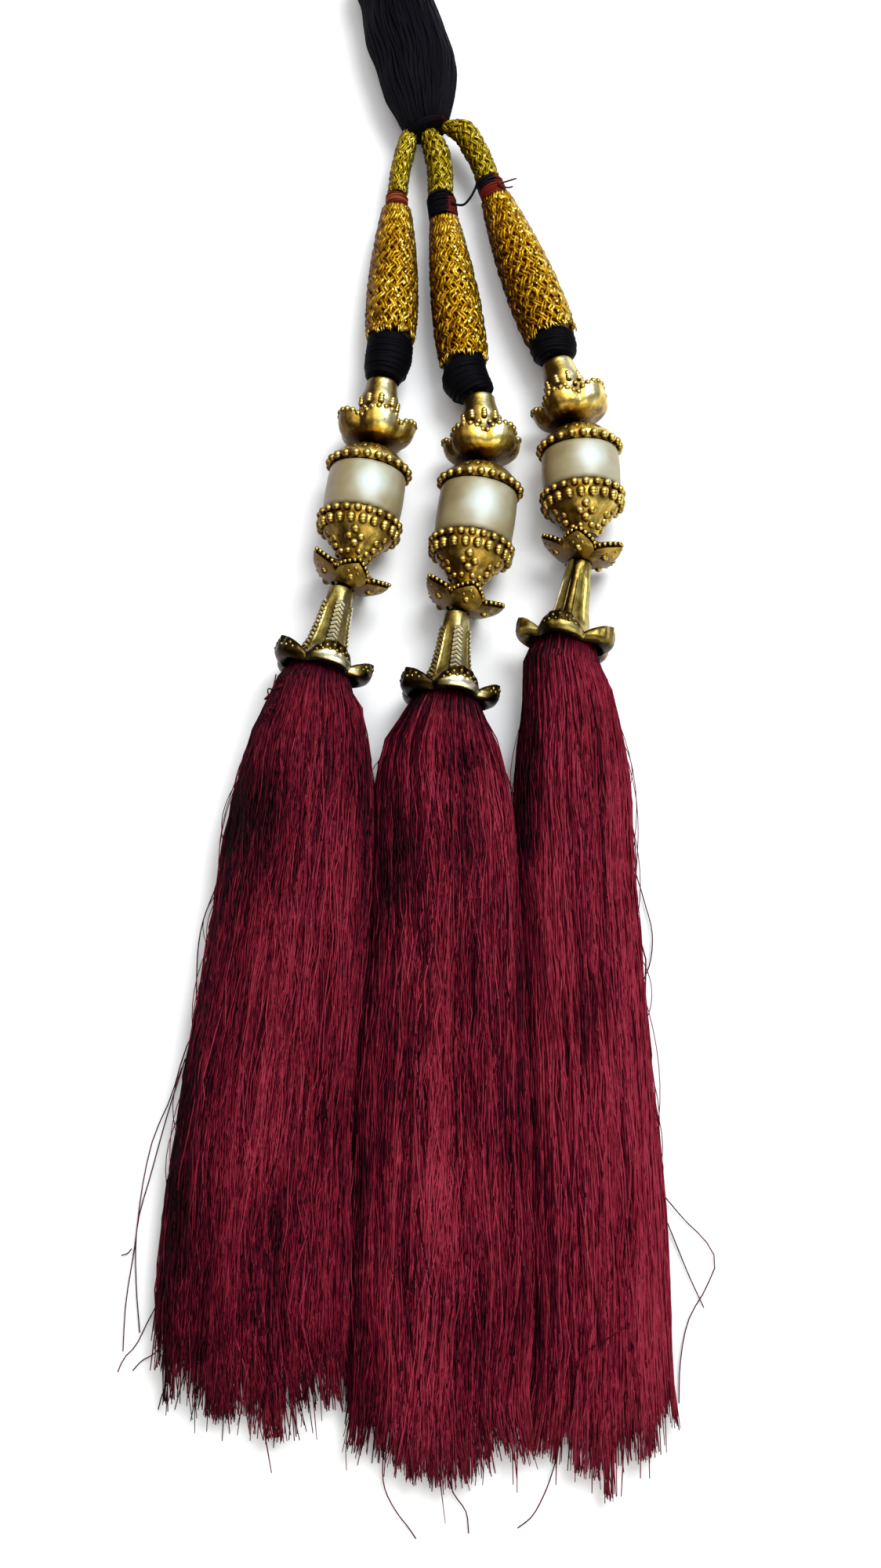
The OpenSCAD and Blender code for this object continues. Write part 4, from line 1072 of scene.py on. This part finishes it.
def make_upper_flower(soup, s):
    spot = Spot(STRINGS[s][0], STRINGS[s][1], CUP_TILT, CUP_TURNS[s])
    angle = circle(FLOWER_COLUMNS)
    off = spot.petal_share(angle)
    lobe = lobed(off, 3.7, 3.6) / UPPER_PETAL_R
    reach = 1 - 0.24 * np.abs(off) ** 2.4
    outer = spline([(SEAT_R + 0.1, CUP_LEN), (3.8, CUP_LEN - 0.5), (5.6, 12.1), (6.7, 11.1), (7.15, 9.9),
                    (UPPER_PETAL_R, 8.3)], even(40))
    inner = spline([(SEAT_R + 0.1, CUP_LEN - 0.7), (3.5, CUP_LEN - 1.2), (4.9, 11.5), (5.9, 10.6), (6.45, 9.6),
                    (UPPER_PETAL_R - 0.5, 8.25)], even(40))
    steps = even(16)[:, None]

    def surface(profile):
        share = steps * reach
        radius, depth = (np.interp(share, even(len(profile)), row) for row in profile.T)
        return radius * (1 + (lobe - 1) * share), depth

    outer_r, outer_d = surface(outer)
    # Faint ribs on the outside
    outer_r = outer_r + 0.025 * np.cos(6 * np.pi * off) * np.sin(np.pi * steps * 0.8) * np.clip(steps * 4, 0, 1)
    inner_r, inner_d = surface(inner)
    hub_r = BORE_R + 0 * angle
    radius = np.concatenate([hub_r, inner_r, outer_r[::-1], hub_r])
    depth = np.concatenate([CUP_LEN - 0.7 + 0 * angle, inner_d, outer_d[::-1], CUP_LEN + 0 * angle])
    # Painted light on the lobes that face the light, painted shade on the others
    lit = bell(wrapped(angle - 70), 0, 26)
    soup.lattice(spot.at(angle, radius, depth), 0.3 + 0.6 * lit + 0 * radius)
    rim = spot.at(angle[0], (outer_r[-1] + inner_r[-1]) / 2, (outer_d[-1] + inner_d[-1]) / 2)
    rim_balls(soup, rim, 1.2, 0.6)


def fluted(count, depth, inner, outer):
    """Shape of shallow flutes between two radii of a lathe."""
    def shape(radius, d, angle):
        swell = depth * np.sin(np.pi * fade(radius, inner, outer - inner))
        return radius + swell * np.cos(np.radians(count * angle)), d
    return shape


def bead_ring(soup, spot, count, radius, depth, bead_r, phase=0.0, columns=12, rows=7):
    turn = circle(count)[0] + 90 + phase
    soup.balls(spot.at(turn, radius, depth), bead_r, columns, rows)


def make_upper_cap(soup, s):
    spot = SPOTS[s]["group"]
    outer = spline([(SEAT_R, 0), (3.9, 0.6), (4.8, 1.3), (6.1, 2.3), (CAP_RIM_R - 0.3, 3.3),
                    (CAP_RIM_R - 0.35, 4.1), (CAP_RIM_R - 0.6, UPPER_CAP_H)], even(24))
    profile = np.concatenate([[(BORE_R, UPPER_CAP_H), (BORE_R, 0)], outer])
    soup.lathe(spot, profile, 120, fluted(20, 0.22, 3, 7.2))
    bead_ring(soup, spot, RIM_BEADS + 2, CAP_RIM_R, 4.2, RIM_BEAD_R * 0.95)
    bead_ring(soup, spot, 16, 5.15, 2.1, 0.6, 9, 10, 6)


def make_pearl(soup, s):
    spot = SPOTS[s]["group"]
    top = UPPER_CAP_H + GAP
    bottom = top + SPOTS[s]["pearl_h"]
    half = [(0.9, -0.12), (0.4, -0.02), (0.2, 0.3), (0.1, 1.2), (0.03, 2.6)]
    outer = [(PEARL_R - inset, top + run) for inset, run in half] + [(PEARL_R, (top + bottom) / 2)]
    outer = outer + [(PEARL_R - inset, bottom - run) for inset, run in half[::-1]]
    profile = np.concatenate([[(BORE_R, bottom + 0.12), (BORE_R, top - 0.12)], spline(outer, even(34))])
    columns = 80
    run = (profile[:, 1:] - top) / (bottom - top)
    # Painted highlight: a pale oval on the drum right of its middle, given as tone
    painted_highlight = bell(wrapped(circle(columns) - 78), 0, 20) * bell(run, 0.46, 0.28)
    soup.lathe(spot, profile, columns, tone=painted_highlight)


def make_lower_cap(soup, s):
    spot = SPOTS[s]["group"]
    top = UPPER_CAP_H + SPOTS[s]["pearl_h"] + 2 * GAP
    outer = spline([(CAP_RIM_R - 0.5, top), (CAP_RIM_R - 0.3, top + 0.7), (CAP_RIM_R - 0.6, top + 1.6),
                    (CAP_RIM_R - 0.6, top + 2.6), (6.1, top + 3.7), (4.9, top + 5), (3.6, top + 6.2),
                    (2.9, top + 7.4), (SEAT_R, top + LOWER_CAP_H)], even(30))
    profile = np.concatenate([[(BORE_R, top + LOWER_CAP_H), (BORE_R, top)], outer])
    soup.lathe(spot, profile, 100, fluted(10, 0.1, 2.6, 6.5))
    bead_ring(soup, spot, RIM_BEADS + 2, CAP_RIM_R - 0.05, top + 0.72, RIM_BEAD_R - 0.1)
    for run, size in ((2.35, 0.88), (2.8, 0.8)):
        bead_ring(soup, spot, RIM_BEADS, CAP_RIM_R - 0.05 - 0.12 * run, top + run, size, 8)
    # Low leaves and lumps over the taper
    for radius, depth, size, phase in ((5.2, 4, 1, 0), (4.3, 5, 0.9, 14), (4.3, 5, 0.9, -14), (3.5, 6, 1, 0),
                                       (2.8, 7.2, 0.7, 20), (2.8, 7.2, 0.7, -20)):
        bead_ring(soup, spot, PETALS, radius, top + depth, size, phase, 14, 8)


def make_lower_flower(soup, s):
    spot = SPOTS[s]["flower"]
    angle = circle(FLOWER_COLUMNS)
    off = np.abs(spot.petal_share(angle))
    reach = VALLEY_R + (LOWER_PETAL_R - 0.25 - VALLEY_R) * (1 - off) ** 0.66
    steps = even(12)[:, None]
    upper = np.array([(SEAT_R, 1.7), (2.8, 2.6), (4.4, 2.2), (6.2, 1.35), (LOWER_PETAL_R - 0.3, 0.75)])
    lower = np.array([(SEAT_R, FLOWER_LEN), (3.6, 3.8), (5.2, 3.2), (6.9, 2.1), (LOWER_PETAL_R, 1.2)])
    radius = SEAT_R + (reach - SEAT_R) * steps
    rib = 0.28 * (1 - fade(off, 0, 0.5)) * fade(radius, 3, 3)
    upper_d = np.interp(radius, *upper.T) - rib
    lower_d = np.interp(radius, *lower.T)
    neck = np.array([(SEAT_R, 0.0), (BORE_R, 0.0), (BORE_R, FLOWER_LEN)])
    all_r = np.concatenate([neck[:, :1] + 0 * angle, radius, radius[::-1]][::-1])
    all_d = np.concatenate([neck[:, 1:] + 0 * angle, lower_d, upper_d[::-1]][::-1])
    petal = np.round((spot.petal(0) - angle) / (2 * HALF_PETAL)).astype(int) % PETALS
    soup.lattice(spot.at(angle, all_r, all_d), np.array(PAINTED_PETAL_TONES)[petal] + 0 * all_r)
    rim = spot.at(angle[0], reach[0] - 0.1, (upper_d[-1] + lower_d[-1]) / 2 - 0.2)
    rim_balls(soup, rim, 0.95, 0.4)
    bead_ring(soup, spot, 9, SEAT_R + 0.2, 1.1, 0.62, 0, 10, 7)
    # Dots over the outer faces, then the lumps of a small blossom round the middle
    aside, out, size = np.array([(0, 6.6, 0.38), (-8, 5.8, 0.36), (9, 5.6, 0.36), (0, 4.6, 0.8)]).T
    dots = (aside, out, np.interp(out, *lower.T) - 0.2, size)
    lumps = np.array([(-16, 3.6, 2.1, 0.62), (0, 4.4, 1.7, 0.7), (16, 3.6, 2.1, 0.62),
                      (-26, 4.9, 2.2, 0.5), (26, 4.9, 2.2, 0.5)]).T
    for aside, out, depth, size in (dots, lumps):
        for i in range(PETALS):
            soup.balls(spot.at(spot.petal(i) + aside, out, depth), size, 9, 6)


def make_trumpet(soup, s):
    spot = SPOTS[s]["trumpet"]
    columns = 170
    profile = np.concatenate([[(BORE_R, 0)], spline(BODY_ROWS + FOOT_ROWS, even(48)), MOUTH_ROWS])

    def shape(radius, depth, angle):
        off = spot.petal_share(angle)
        facet = 0.16 * np.cos(np.pi * off) * fade(depth, 0, 3) * fade(depth, 13, -2)
        ridge = 0.16 * bell(np.abs(off), 0.42, 0.07) * fade(depth, 3, 1.5) * fade(depth, 13.2, -2) * (radius > 2)
        wider = np.where(radius > FLARE_R,
                         FLARE_R + fade(radius, FLARE_R, FOOT_R - FLARE_R) * (lobed(off, 4.8, 4.2) - FLARE_R), radius)
        lip = fade(depth, 15.6, -3.5) * (radius > 7)
        ribs = 0.26 * np.cos(6 * np.pi * off) * lip * (1 - np.abs(off))
        sunk = lip * (2.6 * np.abs(off) ** 1.5 + 0.3)
        return wider + (facet + ridge) * (radius > 1.6) + ribs, depth + sunk

    away = wrapped(circle(columns) - spot.petal(0))
    radius, depth = profile[:, :1], profile[:, 1:]
    # The right trumpet's panels toward the viewer are bare, with dark and pale lines
    if s == RIGHT:
        tone = 0.35 + fade(away, 16, 14)
        for dark, middle, half in ((0.55, 10, 8), (0.35, -6, 12), (0.55, -38, 9)):
            tone = tone - dark * bell(away, middle, half)
    else:
        tone = 0.6 - 0.55 * bell(away, 0, 17) * fade(depth, 2.5, 2)
    # The foot's flank and lip take their painted light and shade by angle
    tone = tone + fade(radius, 4.8, 1.2) * (np.interp(away, FOOT_ANGLES, FLANK_TONES[s]) - tone)
    lip = fade(radius, 8.1, 0.4) * fade(depth, 14.1, 0.6)
    tone = tone + lip * (np.interp(away, FOOT_ANGLES, LIP_TONES[s]) - tone)
    soup.lathe(spot, profile, columns, shape, tone)

    # Zigzags raised on each panel, and grains on the foot below it
    body_radius, body_depth = np.array(BODY_ROWS).T
    aside = np.linspace(-1, 1, 9)
    for i in range(PETALS):
        bare = s == RIGHT and i in (0, 1, 4)
        if not bare:
            for k in range(ZIGZAGS):
                depth = 3.5 + 0.84 * k - 0.55 * (1 - np.abs(aside))
                angle = spot.petal(i) + (17 - 0.2 * k) * aside
                zigzag = spot.at(angle, np.interp(depth, body_depth, body_radius) + 0.24, depth)
                soup.tubes(zigzag, 0.27, 6, ref=spot.d, tone=1.2)
        if not bare or i == 0:
            angles = spot.petal(i) + np.array([-19, -11, -3, 5, 13, 20, -15, -7, 1, 9, 16])
            radii, depths = shape(np.array([8.97] * 6 + [8.93] * 5), np.array([14.1] * 6 + [13.3] * 5), angles)
            soup.balls(spot.at(angles, radii - 0.2, depths), 0.4, 9, 6, tone=0.1 if bare else 0.25)


# What fills each piece of a strand, its name, node, finish, slot and crease angle
PIECES = [
    (make_cord, "zari_cord", "cord", CORD_ZARI, "gold_thread", 180),
    (make_binding, "thread_binding", "binding", RED, "red_thread", 180),
    (make_bulb, "wound_bulb", "bulb", ZARI, "gold_thread", 180),
    (make_wrap, "yarn_wrap", "wrap", BLACK, "black_yarn", 180),
    (make_collar, "cast_collar", "collar", GOLD, "cast_gold", 50),
    (make_upper_flower, "cast_upper_flower", "upper_flower", GOLD, "cast_gold", 50),
    (make_upper_cap, "cast_upper_cap", "upper_cap", GOLD, "cast_gold", 50),
    (make_pearl, "pearl_drum", "pearl", PEARL, "pearl", 60),
    (make_lower_cap, "cast_lower_cap", "lower_cap", GOLD, "cast_gold", 50),
    (make_lower_flower, "cast_lower_flower", "lower_flower", GOLD, "cast_gold", 45),
    (make_trumpet, "cast_trumpet", "trumpet", OLIVE_GOLD, "cast_gold", 50),
    (make_tassel, "silk_tassel", "tassel", SILK, "silk", 180),
]

make_head()
for strand, side in enumerate(STRANDS):
    for fill, name, node, finish, slot, crease in PIECES:
        if node == "binding" and strand == MIDDLE:
            finish, slot = BLACK, "black_yarn"
        soup = Soup()
        fill(soup, strand)
        soup.build(f"{side}_{name}", finish, slot, f"{side}_{node}", crease=crease)
    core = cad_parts[f"{side}_core"]
    core.data.materials.clear()
    core.data.materials.append(CORE)


# Floor, lights and colour

def make_floor():
    mesh = bpy.data.meshes.new("floor")
    mesh.from_pydata([(-3, -3, 0), (3, -3, 0), (3, 3, 0), (-3, 3, 0)], [], [(0, 1, 2, 3)])
    f = Finish("floor_white", Specular_IOR_Level=0.2, Roughness=0.8)
    f.colour(f.ramp(f.noise(400, 1), (0.0, (0.9, 0.9, 0.9)), (1.0, (0.92, 0.92, 0.92))))
    mesh.materials.append(f.material)
    floor = bpy.data.objects.new("floor", mesh)
    bpy.context.scene.collection.objects.link(floor)


def make_light(name, place, size, power, colour):
    data = bpy.data.lights.new(name, "AREA")
    data.shape = "DISK"
    data.size = size
    data.energy = power
    data.color = colour
    lamp = bpy.data.objects.new(name, data)
    bpy.context.scene.collection.objects.link(lamp)
    lamp.location = place
    lamp.rotation_euler = (Vector((0, 0, 0)) - Vector(place)).to_track_quat("-Z", "Y").to_euler()


make_floor()
make_light("key", (0.2, 0.22, 0.5), 0.32, 2.6, (0.96, 0.98, 1.0))
make_light("wide", (0.03, 0.2, 0.6), 1.0, 4.0, (0.97, 0.98, 1.0))
make_light("fill", (-0.5, 0.1, 0.5), 0.5, 0.5, (1.0, 0.86, 0.7))
make_light("front", (0.12, -0.55, 0.24), 0.6, 2.1, (1.0, 0.98, 0.92))
world = bpy.data.worlds.new("studio")
world.use_nodes = True
world.node_tree.nodes["Background"].inputs["Color"].default_value = (0.9, 0.92, 1.0, 1)
world.node_tree.nodes["Background"].inputs["Strength"].default_value = 0.14
bpy.context.scene.world = world
bpy.context.scene.view_settings.view_transform = "Standard"
